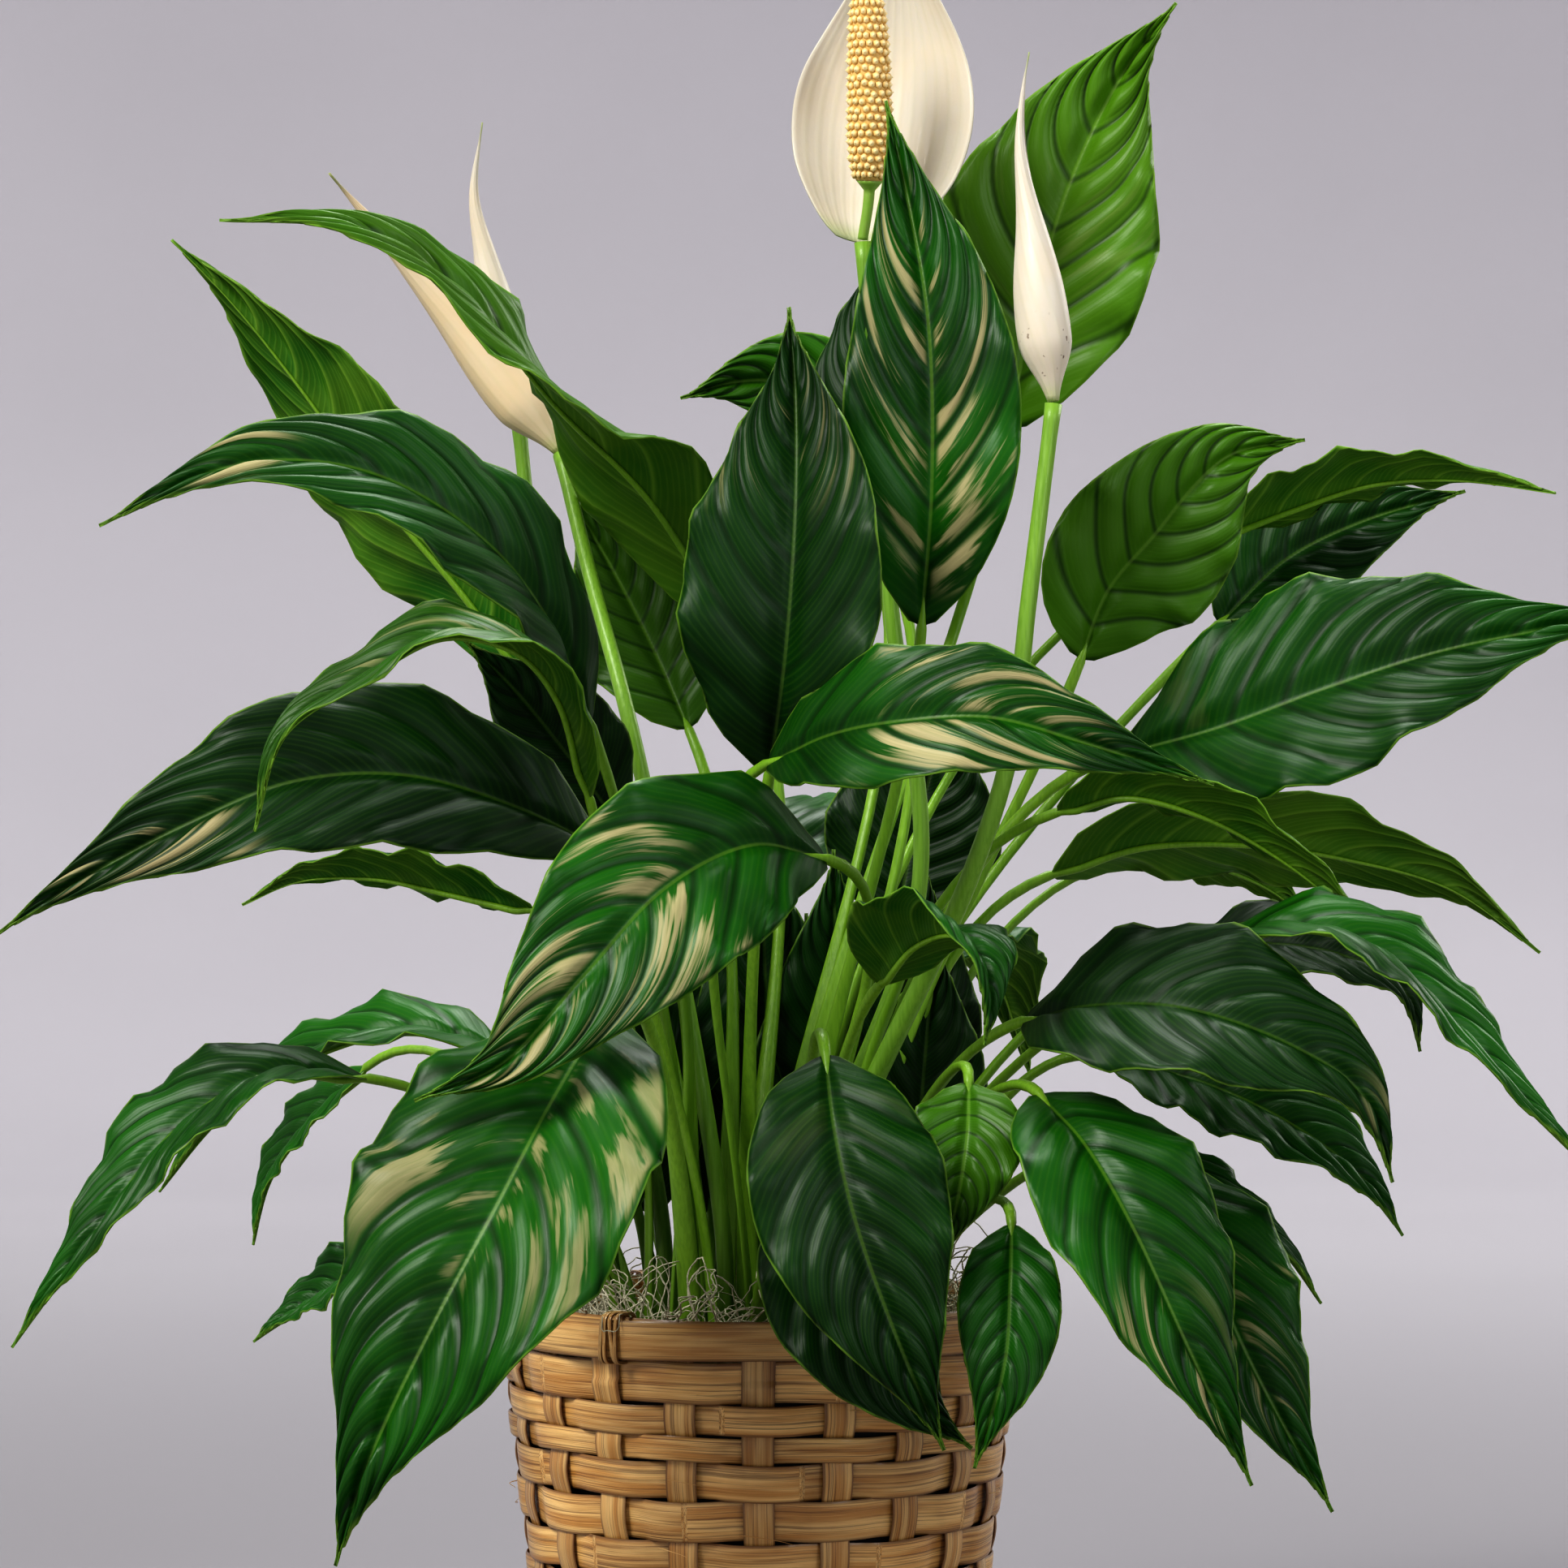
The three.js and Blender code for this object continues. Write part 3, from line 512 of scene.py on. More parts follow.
def smooth_path(points, shares):
    """A centripetal Catmull-Rom line through the points, at shares of its length."""
    knots = [np.array(point, float) for point in points]
    knots = [2 * knots[0] - knots[1], *knots, 2 * knots[-1] - knots[-2]]
    part = np.linspace(0, 1, 24, endpoint=False)[:, None]
    line = []
    for a, b, c, d in zip(knots, knots[1:], knots[2:], knots[3:]):
        first, middle, last = (
            math.sqrt(np.linalg.norm(end - start)) for start, end in ((a, b), (b, c), (c, d))
        )
        leave = ((b - a) / first - (c - a) / (first + middle) + (c - b) / middle) * middle
        arrive = ((c - b) / middle - (d - b) / (middle + last) + (d - c) / last) * middle
        square = 3 * (c - b) - 2 * leave - arrive
        cube = 2 * (b - c) + leave + arrive
        line.append(b + leave * part + square * part**2 + cube * part**3)
    line.append(knots[-2][None])
    return evenly(np.vstack(line), shares)


def bezier(a, b, c, d, shares):
    t = np.asarray(shares)[:, None]
    return a * (1 - t) ** 3 + 3 * b * t * (1 - t) ** 2 + 3 * c * t * t * (1 - t) + d * t**3


class Frames:
    """Points on a path with a right, a face and an ahead at each, carried without spin."""

    def __init__(self, points, facing, start=0, twist=None):
        self.at = np.asarray(points, float)
        self.ahead = unit(np.gradient(self.at, axis=0))
        faces = [None] * len(self.at)
        first = self.ahead[start]
        facing = np.array(facing, float)
        faces[start] = unit(facing - first * (facing @ first))
        for index in range(start + 1, len(self.at)):
            faces[index] = self.carried(faces[index - 1], index - 1, index)
        for index in range(start - 1, -1, -1):
            faces[index] = self.carried(faces[index + 1], index + 1, index)
        self.face = np.array(faces)
        self.right = np.cross(self.face, self.ahead)
        if twist is not None:
            self.turn(twist)

    def carried(self, face, origin, target):
        a, b = self.ahead[origin], self.ahead[target]
        axis = np.cross(a, b)
        turned = face + np.cross(axis, face)
        turned = turned + np.cross(axis, np.cross(axis, face)) / (1 + a @ b)
        return unit(turned - b * (turned @ b))

    def turn(self, angles):
        cosine, sine = np.cos(angles)[:, None], np.sin(angles)[:, None]
        face = self.face * cosine + self.right * sine
        self.right = self.right * cosine - self.face * sine
        self.face = face

    def section(self, across, above):
        """Points round each frame, a row of them for each."""
        return laid(self.at[:, None], self.right[:, None], self.face[:, None], across, above)

    def between(self, along, shares):
        """Places, rights and faces at any shares, where along holds each frame's own."""
        picked = []
        for rows in (self.at, self.right, self.face):
            picked.append(np.stack([np.interp(shares, along, rows[:, k]) for k in range(3)], -1))
        return picked[0], unit(picked[1]), unit(picked[2])


def grid_faces(rows, columns, closed=False):
    """Quads between rows of points; closed joins the last column to the first."""
    i, j = np.meshgrid(np.arange(rows - 1), np.arange(columns - (not closed)), indexing="ij")
    k = (j + 1) % columns
    corners = (i * columns + j, (i + 1) * columns + j, (i + 1) * columns + k, i * columns + k)
    return np.stack(corners, -1).reshape(-1, 4)


class Shape:
    """Points, faces, finishes and point values gathered for one mesh."""

    def __init__(self):
        self.points = []
        self.faces = []
        self.finishes = []
        self.values = []
        self.count = 0

    def add(self, points, faces, finish=0, **values):
        points = np.asarray(points, float).reshape(-1, 3)
        self.faces.extend([[corner + self.count for corner in face] for face in faces])
        self.finishes.extend([finish] * len(faces))
        self.points.append(points)
        self.values.append({
            key: np.broadcast_to(np.asarray(value, float), (len(points),))
            for key, value in values.items()
        })
        self.count += len(points)

    def sheet(self, top, thickness, finishes=(0, 0), **values):
        """A thin closed sheet under a grid of points whose rows run ahead."""
        rows, columns = top.shape[:2]
        along = np.gradient(top, axis=0)
        across = np.gradient(top, axis=1)
        normals = unit(np.cross(along, across) + 1e-9)
        bottom = top - normals * np.asarray(thickness)[..., None]
        faces = grid_faces(rows, columns)
        number = np.arange(rows * columns).reshape(rows, columns)
        ends = number[:-1, 0], number[-1, :-1], number[:0:-1, -1], number[0, :0:-1]
        edge = np.concatenate(ends)
        under = rows * columns
        after = np.roll(edge, -1)
        side = np.stack((edge, edge + under, after + under, after), 1)
        both = {key: np.tile(value, 2) for key, value in spread(values, rows, columns).items()}
        start = self.count
        self.add(np.concatenate((top, bottom)), faces.tolist(), finishes[0], **both)
        # Both sides of a quad split along the same diagonal, so neither shows through.
        below = faces[:, [0, 3, 2, 1]] + under
        for part in (below, side):
            self.faces.extend((part + start).tolist())
            self.finishes.extend([finishes[1]] * len(part))

    def tube(self, rings, finish=0, **values):
        """Rings of points joined into a closed tube, with their turn seen from ahead."""
        rows, columns = rings.shape[:2]
        faces = grid_faces(rows, columns, closed=True)[:, ::-1].tolist()
        faces.append(list(range(columns))[::-1])
        faces.append([(rows - 1) * columns + column for column in range(columns)])
        self.add(rings, faces, finish, **spread(values, rows, columns))

    def loop(self, rings, finish=0, **values):
        """Rings of points joined into a tube that closes on its own start."""
        rows, columns = rings.shape[:2]
        faces = grid_faces(rows + 1, columns, closed=True)[:, ::-1] % (rows * columns)
        self.add(rings, faces.tolist(), finish, **spread(values, rows, columns))

    def build(self, name, materials, crease=None):
        """Makes the object, in metres, with smooth shading and its point values."""
        mesh = bpy.data.meshes.new(name)
        mesh.from_pydata((np.vstack(self.points) * MM).tolist(), [], self.faces)
        mesh.polygons.foreach_set("material_index", self.finishes)
        for key in sorted({key for part in self.values for key in part}):
            parts = [
                part.get(key, np.zeros(len(points)))
                for part, points in zip(self.values, self.points)
            ]
            made = mesh.attributes.new(key, "FLOAT", "POINT")
            made.data.foreach_set("value", np.concatenate(parts).astype(np.float32))
        mesh.validate()
        mesh.shade_smooth()
        if crease is not None:
            mesh.set_sharp_from_angle(angle=math.radians(crease))
        for material in materials:
            mesh.materials.append(material)
        piece = bpy.data.objects.new(name, mesh)
        bpy.context.scene.collection.objects.link(piece)
        return piece


def settle(piece, slot, *nodes):
    """The piece rides on the pot and stands for its solids, which it hides; its slot is not used.
    """
    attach(piece, "root")
    if nodes:
        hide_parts(*nodes)


def oval_rings(frames, half_width, half_depth, sides):
    """A ring round each frame, from its right through its face."""
    angle = turns(sides)
    across = np.broadcast_to(half_width, (len(frames.at),))[:, None] * np.cos(angle)
    above = np.broadcast_to(half_depth, (len(frames.at),))[:, None] * np.sin(angle)
    return frames.section(across, above)


def round_place(radius, bearing, height):
    angle = np.radians(bearing)
    x, y = radius * np.cos(angle), radius * np.sin(angle)
    return np.stack(np.broadcast_arrays(x, y, height), -1)


def weave_outside(height):
    return RIM_RADIUS - SIDE_TAPER * (BASKET_HEIGHT - height)


# ---------- leaves ----------
HEART_LEAVES = 11
PLAIN_WIDTH = 60  # the blade width that the leaf settings are meant for
TWISTED_FROM, TWISTED_TO = 0.1, 0.65  # shares of the blade
VEIN_LEAD = 0.3  # how far a side vein runs forward, as a share of the blade
GROOVE_DEPTH, GROOVE_WIDTH = 0.55, 1.5  # over the midrib
MARGIN_WAVES = 3.6, 5.2  # fewest and most along a margin
NECK_RADIUS, FOOT_RADIUS = 1.7, 2.2  # of a stem
SHEATH_WIDER = 0.75  # how much wider a stem's foot is than it is deep


def leaf_half_width(u, width):
    """Half the width of a blade, from neck to tip."""
    swell = np.clip(np.sin(math.pi * u**0.72), 0.0, 1.0) ** (1 + 0.5 * u)
    return np.maximum(0.5, width / 2 * swell)


def leaf_stem_path(leaf, neck, ahead, shares):
    """The stem leaves the soil upright and bends over into the blade."""
    root = round_place(ROOT_RINGS[leaf.ring], leaf.bearing, STEM_START)
    reach = np.linalg.norm(neck - root)
    return bezier(root, root + UP * 0.35 * reach, neck - ahead * 0.3 * reach, neck, shares)


def add_leaf(shape, leaf, looks, settings, seed):
    """One leaf: a quilted blade, and a stem that runs on under it as the midrib."""
    random = np.random.default_rng(seed)
    stem_shares = np.linspace(0, 1, 22)
    blade_shares = np.linspace(0, 1, 81)
    blade = smooth_path(leaf.spine, blade_shares)
    stem = leaf_stem_path(leaf, blade[0], unit(blade[1] - blade[0]), stem_shares)
    neck = len(stem_shares) - 1
    along = np.concatenate((stem_shares - 1, blade_shares[1:]))
    twist = math.radians(leaf.twist) * smoothstep(TWISTED_FROM, TWISTED_TO, along)
    frames = Frames(np.vstack((stem, blade[1:])), leaf.facing, neck, twist)

    pairs = settings.vein_pairs
    s = np.linspace(0.003, 1, 6 * pairs + 1)[:, None]
    side = np.linspace(-1, 1, 31)[None, :]
    v = np.sign(side) * np.abs(side) ** 1.2
    lead = VEIN_LEAD * (0.55 * np.abs(v) + 0.45 * v * v)
    u = np.clip(s + lead * np.sin(math.pi * s**0.75), 0, 1)
    half = leaf_half_width(u, leaf.width)
    across = v * half
    scale = leaf.width / PLAIN_WIDTH
    vein = s * pairs
    pillow = np.sin(math.pi * (vein % 1.0)) ** 0.7
    ends = smoothstep(0, 0.1, s) * smoothstep(0, 0.16, 1 - s)
    inside = smoothstep(0.02, 0.22, np.abs(v)) * (1 - 0.75 * np.abs(v) ** 5)
    quilt = settings.quilt_height / MM * scale * pillow * ends * inside
    waves = random.uniform(*MARGIN_WAVES)
    phase = random.uniform(0, 2 * math.pi, 4)
    turn = np.where(v > 0, phase[0], phase[1])
    fine = np.where(v > 0, phase[2], phase[3])
    swing = np.sin(2 * math.pi * waves * u + turn)
    swing = swing + 0.4 * np.sin(4.6 * math.pi * waves * u + fine)
    ripple = settings.ripple_height / MM * swing * np.abs(v) ** 3 * half / 30
    slope = np.sqrt(v * v + 0.003) - math.sqrt(0.003)
    lift = half * math.tan(math.radians(leaf.fold)) * (slope - 0.35 * v * v)
    groove = GROOVE_DEPTH * np.exp(-((across / GROOVE_WIDTH) ** 2)) * smoothstep(0.0, 0.06, s)
    top = laid(*frames.between(along, u), across, lift + quilt + ripple - groove)

    # Where along the blade its painted sheen lies: the reflection of light between the veins,
    # painted as cream flecks.
    flecked = smoothstep(looks.start - 0.08, looks.start + 0.08, u)
    flecked = flecked * (1 - smoothstep(looks.end - 0.06, looks.end + 0.08, u))
    tint = random.uniform(0, 1)
    thickness = settings.blade_thickness / MM
    # The blade also carries its painted light, lighter and yellower where lit, and its painted
    # shade, darker where shaded.
    shape.sheet(
        top, thickness, (0, 1), along=u, offset=across, edge=half - np.abs(across), vein=vein,
        fleck=looks.flecks * flecked * np.where(v > 0, looks.right_share, 1.0),
        sunny=looks.sunny, deep=looks.deep, tint=tint,
    )

    rib = np.clip(along, 0, 1)
    sheath = smoothstep(-0.42, -0.8, along)
    swollen = 0.25 * np.exp(-((along + 0.07) / 0.05) ** 2)
    stem_radius = FOOT_RADIUS - 0.5 * (along + 1)
    rib_radius = NECK_RADIUS * (1 - rib) ** 0.9 * 0.8 ** (rib > 0)
    taper = np.where(along < 0, stem_radius, rib_radius)
    radius = np.maximum(taper + swollen, 0.18) * (0.75 + 0.25 * scale)
    under = smoothstep(0.0, 0.07, rib) * (0.45 + thickness + radius * 0.85)
    frames.at = frames.at - frames.face * under[:, None]
    frames.at[0] -= UP * 2
    rings = oval_rings(frames, radius * (1 + SHEATH_WIDER * sheath), radius, 16)
    channel = np.clip(np.sin(turns(16)), 0, 1) ** 2 * (radius * (0.25 + 0.9 * sheath))[:, None]
    rings = rings - frames.face[:, None] * (channel * (along < 0)[:, None])[..., None]
    shape.tube(rings, 2, tint=tint)


def make_leaf(leaf, settings, materials, seed):
    shape = Shape()
    add_leaf(shape, leaf, LEAF_LOOKS.get(leaf.name, Look()), settings, seed)
    settle(shape.build(leaf.name + "_leaf", materials), "leaf", "leaf_" + leaf.name)


def make_heart_leaves(settings, materials):
    """Short leaves that stand in the shade at the back of the clump, darkened with painted shade.
    """
    random = np.random.default_rng(77)
    shape = Shape()
    for number in range(HEART_LEAVES):
        bearing = 8 + 164 * number / (HEART_LEAVES - 1) + random.uniform(-5, 5)
        foot = random.uniform(158, 190) + 34 * (number % 2)
        length = random.uniform(88, 112)
        lean = random.uniform(6, 16)
        spine = [
            tuple(round_place(50 + lean * share, bearing + 5 * share, foot + length * share))
            for share in (0.0, 0.35, 0.7, 1.0)
        ]
        leaf = Leaf("heart", 3, bearing, random.uniform(40, 50), (0.1, -1, 0.1), 16, spine)
        # Darkened with painted shade.
        add_leaf(shape, leaf, Look(deep=random.uniform(0.75, 1.0)), settings, 100 + number)
    settle(shape.build("heart_leaves", materials), "leaf")


FINE_VEINS = 7


def upper_side(settings):
    """Glossy green with a pale midrib, painted shade in its sunken veins, and a painted sheen
    between them, the light's reflection laid on as cream flecks.
    """
    recipe = Recipe("leaf_upper_side")
    along, offset, edge, vein, fleck, sunny, deep, tint = (
        recipe.attribute(name)
        for name in ("along", "offset", "edge", "vein", "fleck", "sunny", "deep", "tint")
    )
    away = abs(offset)
    fine_line = (vein * FINE_VEINS).line(0.3)
    side = offset.step(-0.1, 0.1) * 5.0
    # The painted sheen: the light's reflection on the ridges between the veins, painted into the
    # colour as streaks of cream flecks.
    streak = recipe.figure(vein * 2.5 + side, away * 0.05 + vein * 0.11, tint * 29.0, 1.5)
    feather = recipe.figure(vein * 15.0 + side, away * 0.11, tint * 17.0, 2.0)
    region = recipe.figure(vein * 0.5 + side, away * 0.03, tint * 11.0, 1.0)
    level = streak - 0.5 + 0.4 * (feather - 0.5) + 0.6 * (region - 0.5) + 0.12 * fleck
    cream = level.step(0.06, 0.2) * vein.from_whole().step(0.05, 0.2) * fleck.step(0.02, 0.6)
    cream = cream * edge.step(0.4, 2.4) * away.step(0.8, 2.6)
    feathered = feather.step(0.35, 0.7) * 0.2
    sheen_colour = recipe.mix(feathered, settings.sheen_cream, settings.upper_green)
    # The pale midrib, dimmed where the blade carries painted shade.
    rib = (1 - away.step(0.25, 0.8)) * (1 - along.step(0.75, 1.0)) * (1 - 0.5 * deep)
    green = recipe.coats(
        settings.upper_green,
        # Dark mottling: partly the blade's own uneven tone, partly painted shade between patches of
        # sheen.
        (recipe.mottle(26.0, 3.0).step(0.35, 0.75) * 0.6, settings.deep_green),
        (recipe.mottle(11.0, 2.0).step(0.4, 0.7) * 0.5, settings.deep_green),
        # Painted shade on blades that lie in shade.
        ((0.75 + 0.2 * tint) * deep, settings.deep_green),
        # Painted light on lit blades.
        (sunny, settings.sunny_green),
        (fine_line * 0.07, settings.sunny_green),
        # Painted shade in the sunken vein grooves.
        (vein.line(0.13) * 0.65, settings.deep_green),
        # Painted sheen, laid on as cream flecks.
        (cream * 0.82, sheen_colour),
        (rib * 0.26, settings.rib_green),
        # A pale margin line: partly the blade's own paler edge, partly a painted highlight along
        # it.
        ((1 - edge.step(0.1, 0.75)) * 0.5, settings.rib_green),
    )
    return recipe.finish({
        "Base Color": green,
        "Roughness": 0.34 + 0.14 * recipe.mottle(90.0, 2.0) + 0.12 * cream + 0.07 * deep,
        "Normal": recipe.bump(fine_line * -0.6 + recipe.mottle(900.0, 2.0) * 0.4, 0.00004),
        "Specular IOR Level": 0.3,
    })


def under_side(settings):
    """Matt yellow-green with pale raised veins; the light yellow-green is partly the underside's
    own paler colour and partly painted light shining through the blade.
    """
    recipe = Recipe("leaf_under_side")
    edge, vein, sunny, deep = (
        recipe.attribute(name) for name in ("edge", "vein", "sunny", "deep")
    )
    ridge = vein.line(0.1)
    fine_line = (vein * FINE_VEINS).line(0.26)
    clouds = recipe.mottle(32.0, 3.0)
    green = recipe.coats(
        settings.under_green,
        (clouds.step(0.3, 0.75), settings.upper_green),
        # Painted shade on blades that lie in shade.
        (deep * 0.85, settings.deep_green),
        # Painted light on lit blades.
        (sunny * 0.5, settings.sunny_green),
        # Pale raised veins, dimmed where the blade carries painted shade.
        (ridge * 0.4 * (1 - 0.6 * deep), settings.rib_green),
        (fine_line * 0.16, settings.rib_green),
        # A pale margin line: partly the blade's own paler edge, partly a painted highlight along
        # it.
        ((1 - edge.step(0.1, 0.8)) * 0.5, settings.rib_green),
    )
    relief = ridge * 0.6 + fine_line * 0.2 + recipe.mottle(700.0, 2.0) * 0.2
    return recipe.finish({
        "Base Color": green,
        "Roughness": 0.46 + 0.14 * clouds,
        "Normal": recipe.bump(relief, 0.00025),
        "Specular IOR Level": 0.25,
    })


def green_stem(settings, name, colour, shade):
    """Bright stems with fine streaks along them, and painted shade darkening them near the soil."""
    recipe = Recipe(name)
    drawn = recipe.node("VectorMath", {"operation": "MULTIPLY"},
                        {0: recipe.place(), 1: (1.0, 1.0, 0.06)})
    streaks = recipe.noise(drawn, 1100.0, 3.0)
    low = recipe.node("SeparateXYZ", {}, {0: recipe.place()}, output=2)
    green = recipe.coats(
        colour,
        (streaks.step(0.35, 0.7) * 0.45, shade),
        (recipe.mottle(40.0, 2.0).step(0.45, 0.75) * 0.4, shade),
        (0.35 * recipe.attribute("tint"), shade),
        # Painted shade low down, near the soil.
        ((1 - low.step(0.12, 0.24)) * 0.45, settings.deep_green),
    )
    return recipe.finish({
        "Base Color": green,
        "Roughness": 0.38 + 0.15 * streaks,
        "Normal": recipe.bump(streaks, 0.00015),
        "Subsurface Weight": 0.06,
        "Subsurface Radius": (0.002, 0.003, 0.0008),
        "Coat Weight": 0.1,
    })


class LILY_OT_leaves(bpy.types.Operator):
    """Build the forty-two leaves with their stems, and the short ones in the shade"""

    bl_idname = "lily.leaves"
    bl_label = "Leaves"

    def execute(self, context):
        settings = context.scene.lily_leaves
        stem = green_stem(settings, "leaf_stem", settings.stem_green, settings.sunny_green)
        materials = (upper_side(settings), under_side(settings), stem)
        for seed, leaf in enumerate(LEAVES):
            make_leaf(leaf, settings, materials, seed)
        make_heart_leaves(settings, materials)
        return {"FINISHED"}


# ---------- flowers ----------
FLAW_BROWN = (0.12, 0.06, 0.02)
JOINT_BROWN = (0.4, 0.23, 0.05)
BRACT_RIBS = 7  # on each half of the open bract


def bract_skin(settings):
    """Cream-white and softly ribbed, green at the tip, tanned with age, flecked brown."""
    recipe = Recipe("bract_skin")
    along, tan, spots, rib = (
        recipe.attribute(name) for name in ("along", "tan", "spots", "rib")
    )
    clouds = recipe.mottle(45.0, 3.0)
    veins = rib.line(0.35)
    tip = along.step(0.9, 1.0) * 0.7
    foot = (1 - along.step(0.0, 0.07)) * 0.5
    flaw = recipe.mottle(330.0, 2.0).step(0.66, 0.7) * (1 - along.step(0.14, 0.26))
    flaw = flaw * along.step(0.03, 0.1) * spots
    white = recipe.coats(
        settings.bract_white,
        (clouds.step(0.3, 0.8) * 0.25, settings.bract_tan),
        (tan * (0.45 + 0.55 * clouds), settings.bract_tan),
        (veins * 0.05, settings.bract_green),
        (tip.larger(foot), settings.bract_green),
        (flaw * 0.85, FLAW_BROWN),
    )
    grain = recipe.mottle(600.0, 2.0)
    return recipe.finish({
        "Base Color": white,
        "Roughness": 0.42 + 0.15 * clouds,
        "Normal": recipe.bump(veins * 0.6 + grain * 0.4, 0.0001),
        "Subsurface Weight": 0.18,
        "Subsurface Radius": (0.004, 0.0035, 0.002),
        "Coat Weight": 0.08,
    })


def floret_skin(settings):
    """Golden florets with pale tips and darker joints between them."""
    recipe = Recipe("spike_florets")
    tip = recipe.attribute("tip")
    speckle = recipe.mottle(700.0, 3.0)
    gold = recipe.coats(
        settings.spike_gold,
        (tip.step(0.25, 0.9), settings.spike_pale),
        ((1 - tip.step(0.0, 0.3)) * 0.35, JOINT_BROWN),
        (speckle.step(0.5, 0.8) * 0.4, settings.spike_pale),
    )
    return recipe.finish({
        "Base Color": gold,
        "Roughness": 0.6 + 0.25 * speckle,
        "Normal": recipe.bump(speckle, 0.0002),
        "Subsurface Weight": 0.05,
        "Subsurface Radius": (0.002, 0.0015, 0.0008),
    })


def make_stalk(stalk, skin):
    """A bare round flower stalk, a little swollen where it carries the flower."""
    root = round_place(ROOT_RINGS[stalk.ring], stalk.bearing, STEM_START)
    shares = np.linspace(0, 1, 60)
    path = smooth_path((root, root + UP * 40, *stalk.through), shares)
    path[0] -= UP * 2
    frames = Frames(path, (0, -1, 0))
    radius = stalk.radii[0] + (stalk.radii[1] - stalk.radii[0]) * shares
    radius = radius + 0.35 * np.exp(-((1 - shares) / 0.02) ** 2)
    shape = Shape()
    shape.tube(oval_rings(frames, radius, radius, 14), tint=0.1)
    settle(shape.build(stalk.name + "_stalk", (skin,)), "flower_stalk", stalk.name + "_scape")


def make_open_bract(settings, skin):
    """The open bract: a cupped sheet behind the spike."""
    shares = np.linspace(0, 1, 61)
    frames = Frames(smooth_path(OPEN_BRACT["spine"], shares), OPEN_BRACT["facing"])
    s = shares[:, None]
    v = np.linspace(-1, 1, 41)[None, :]
    u = np.clip(s + 0.06 * np.sin(math.pi * s) * v * v, 0, 1)
    swell = np.clip(np.sin(math.pi * (0.02 + 0.98 * u) ** 0.72), 0, 1) ** (0.75 + 0.7 * u)
    half = np.maximum(0.7, OPEN_BRACT["width"] / 2 * swell)
    across = v * half
    cup = half * math.tan(math.radians(OPEN_BRACT["fold"])) * 0.65 * v * v
    wave = 0.9 * np.abs(v) ** 3 * np.sin(2 * math.pi * 2.3 * u + np.where(v > 0, 0.4, 2.2))
    wave = wave * half / 30
    ribs = 0.05 * np.cos(2 * math.pi * BRACT_RIBS * v) * np.sin(math.pi * s)
    top = laid(*frames.between(shares, u), across, cup + wave + ribs)
    shape = Shape()
    rib = v * BRACT_RIBS + 40
    shape.sheet(top, settings.bract_thickness / MM, along=u, tan=0.06, spots=0.0, rib=rib)
    settle(shape.build("flower_open_bract", (skin,)), "spathe", "flower_open_spathe")


def make_furled_bract(bract, settings, skin):
    """A bract still rolled round itself, with its free edge winding up the outside."""
    s = np.linspace(0, 1, 64)
    twist = np.radians(bract.twist) * s
    frames = Frames(smooth_path(bract.spine, s), bract.facing, twist=twist)
    swell = np.clip(np.sin(math.pi * (0.04 + 0.94 * s) ** 0.5), 0, 1) ** 1.3
    swell = np.maximum(swell, 0.05) * (0.42 + 0.58 * smoothstep(0, 0.17, s))
    swell = swell * (1 - bract.taper * smoothstep(0.3, 0.7, s))
    t = np.linspace(0, 1, 64)
    turn = -2 * math.pi * bract.lap * t + math.pi * 0.2
    spiral = 1 - 0.2 * (1 - t) ** 2 + 0.05 * smoothstep(0.93, 1.0, t)
    reach = swell[:, None] * spiral[None, :]
    half_width, half_depth = bract.half
    top = frames.section(half_width * reach * np.cos(turn), half_depth * reach * np.sin(turn))
    thickness = settings.bract_thickness / MM * np.maximum(swell, 0.2)[:, None]
    shape = Shape()
    shape.sheet(top, thickness, along=s[:, None], tan=bract.tan, spots=bract.spots, rib=t * 16)
    settle(shape.build(bract.name + "_bract", (skin,)), "spathe", bract.name + "_spathe")


# The spike's radius at shares of its length.
SPIKE_PROFILE = (
    (0.0, 1.7), (0.1, 1.7), (0.19, 1.8), (0.23, 4.6), (0.3, 6.2), (0.42, 6.6), (0.58, 6.4),
    (0.74, 5.9), (0.87, 5.1), (0.95, 3.7), (0.99, 1.9), (1.0, 0.9),
)
# Rings of one floret: how far out, how wide, and how near its tip from 0 to 1.
FLORET_DOME = (
    (0.0, 1.42, 0.0), (0.75, 1.22, 0.35), (1.15, 0.72, 0.7), (1.3, 0.3, 0.95), (1.65, 0.14, 1.0),
)


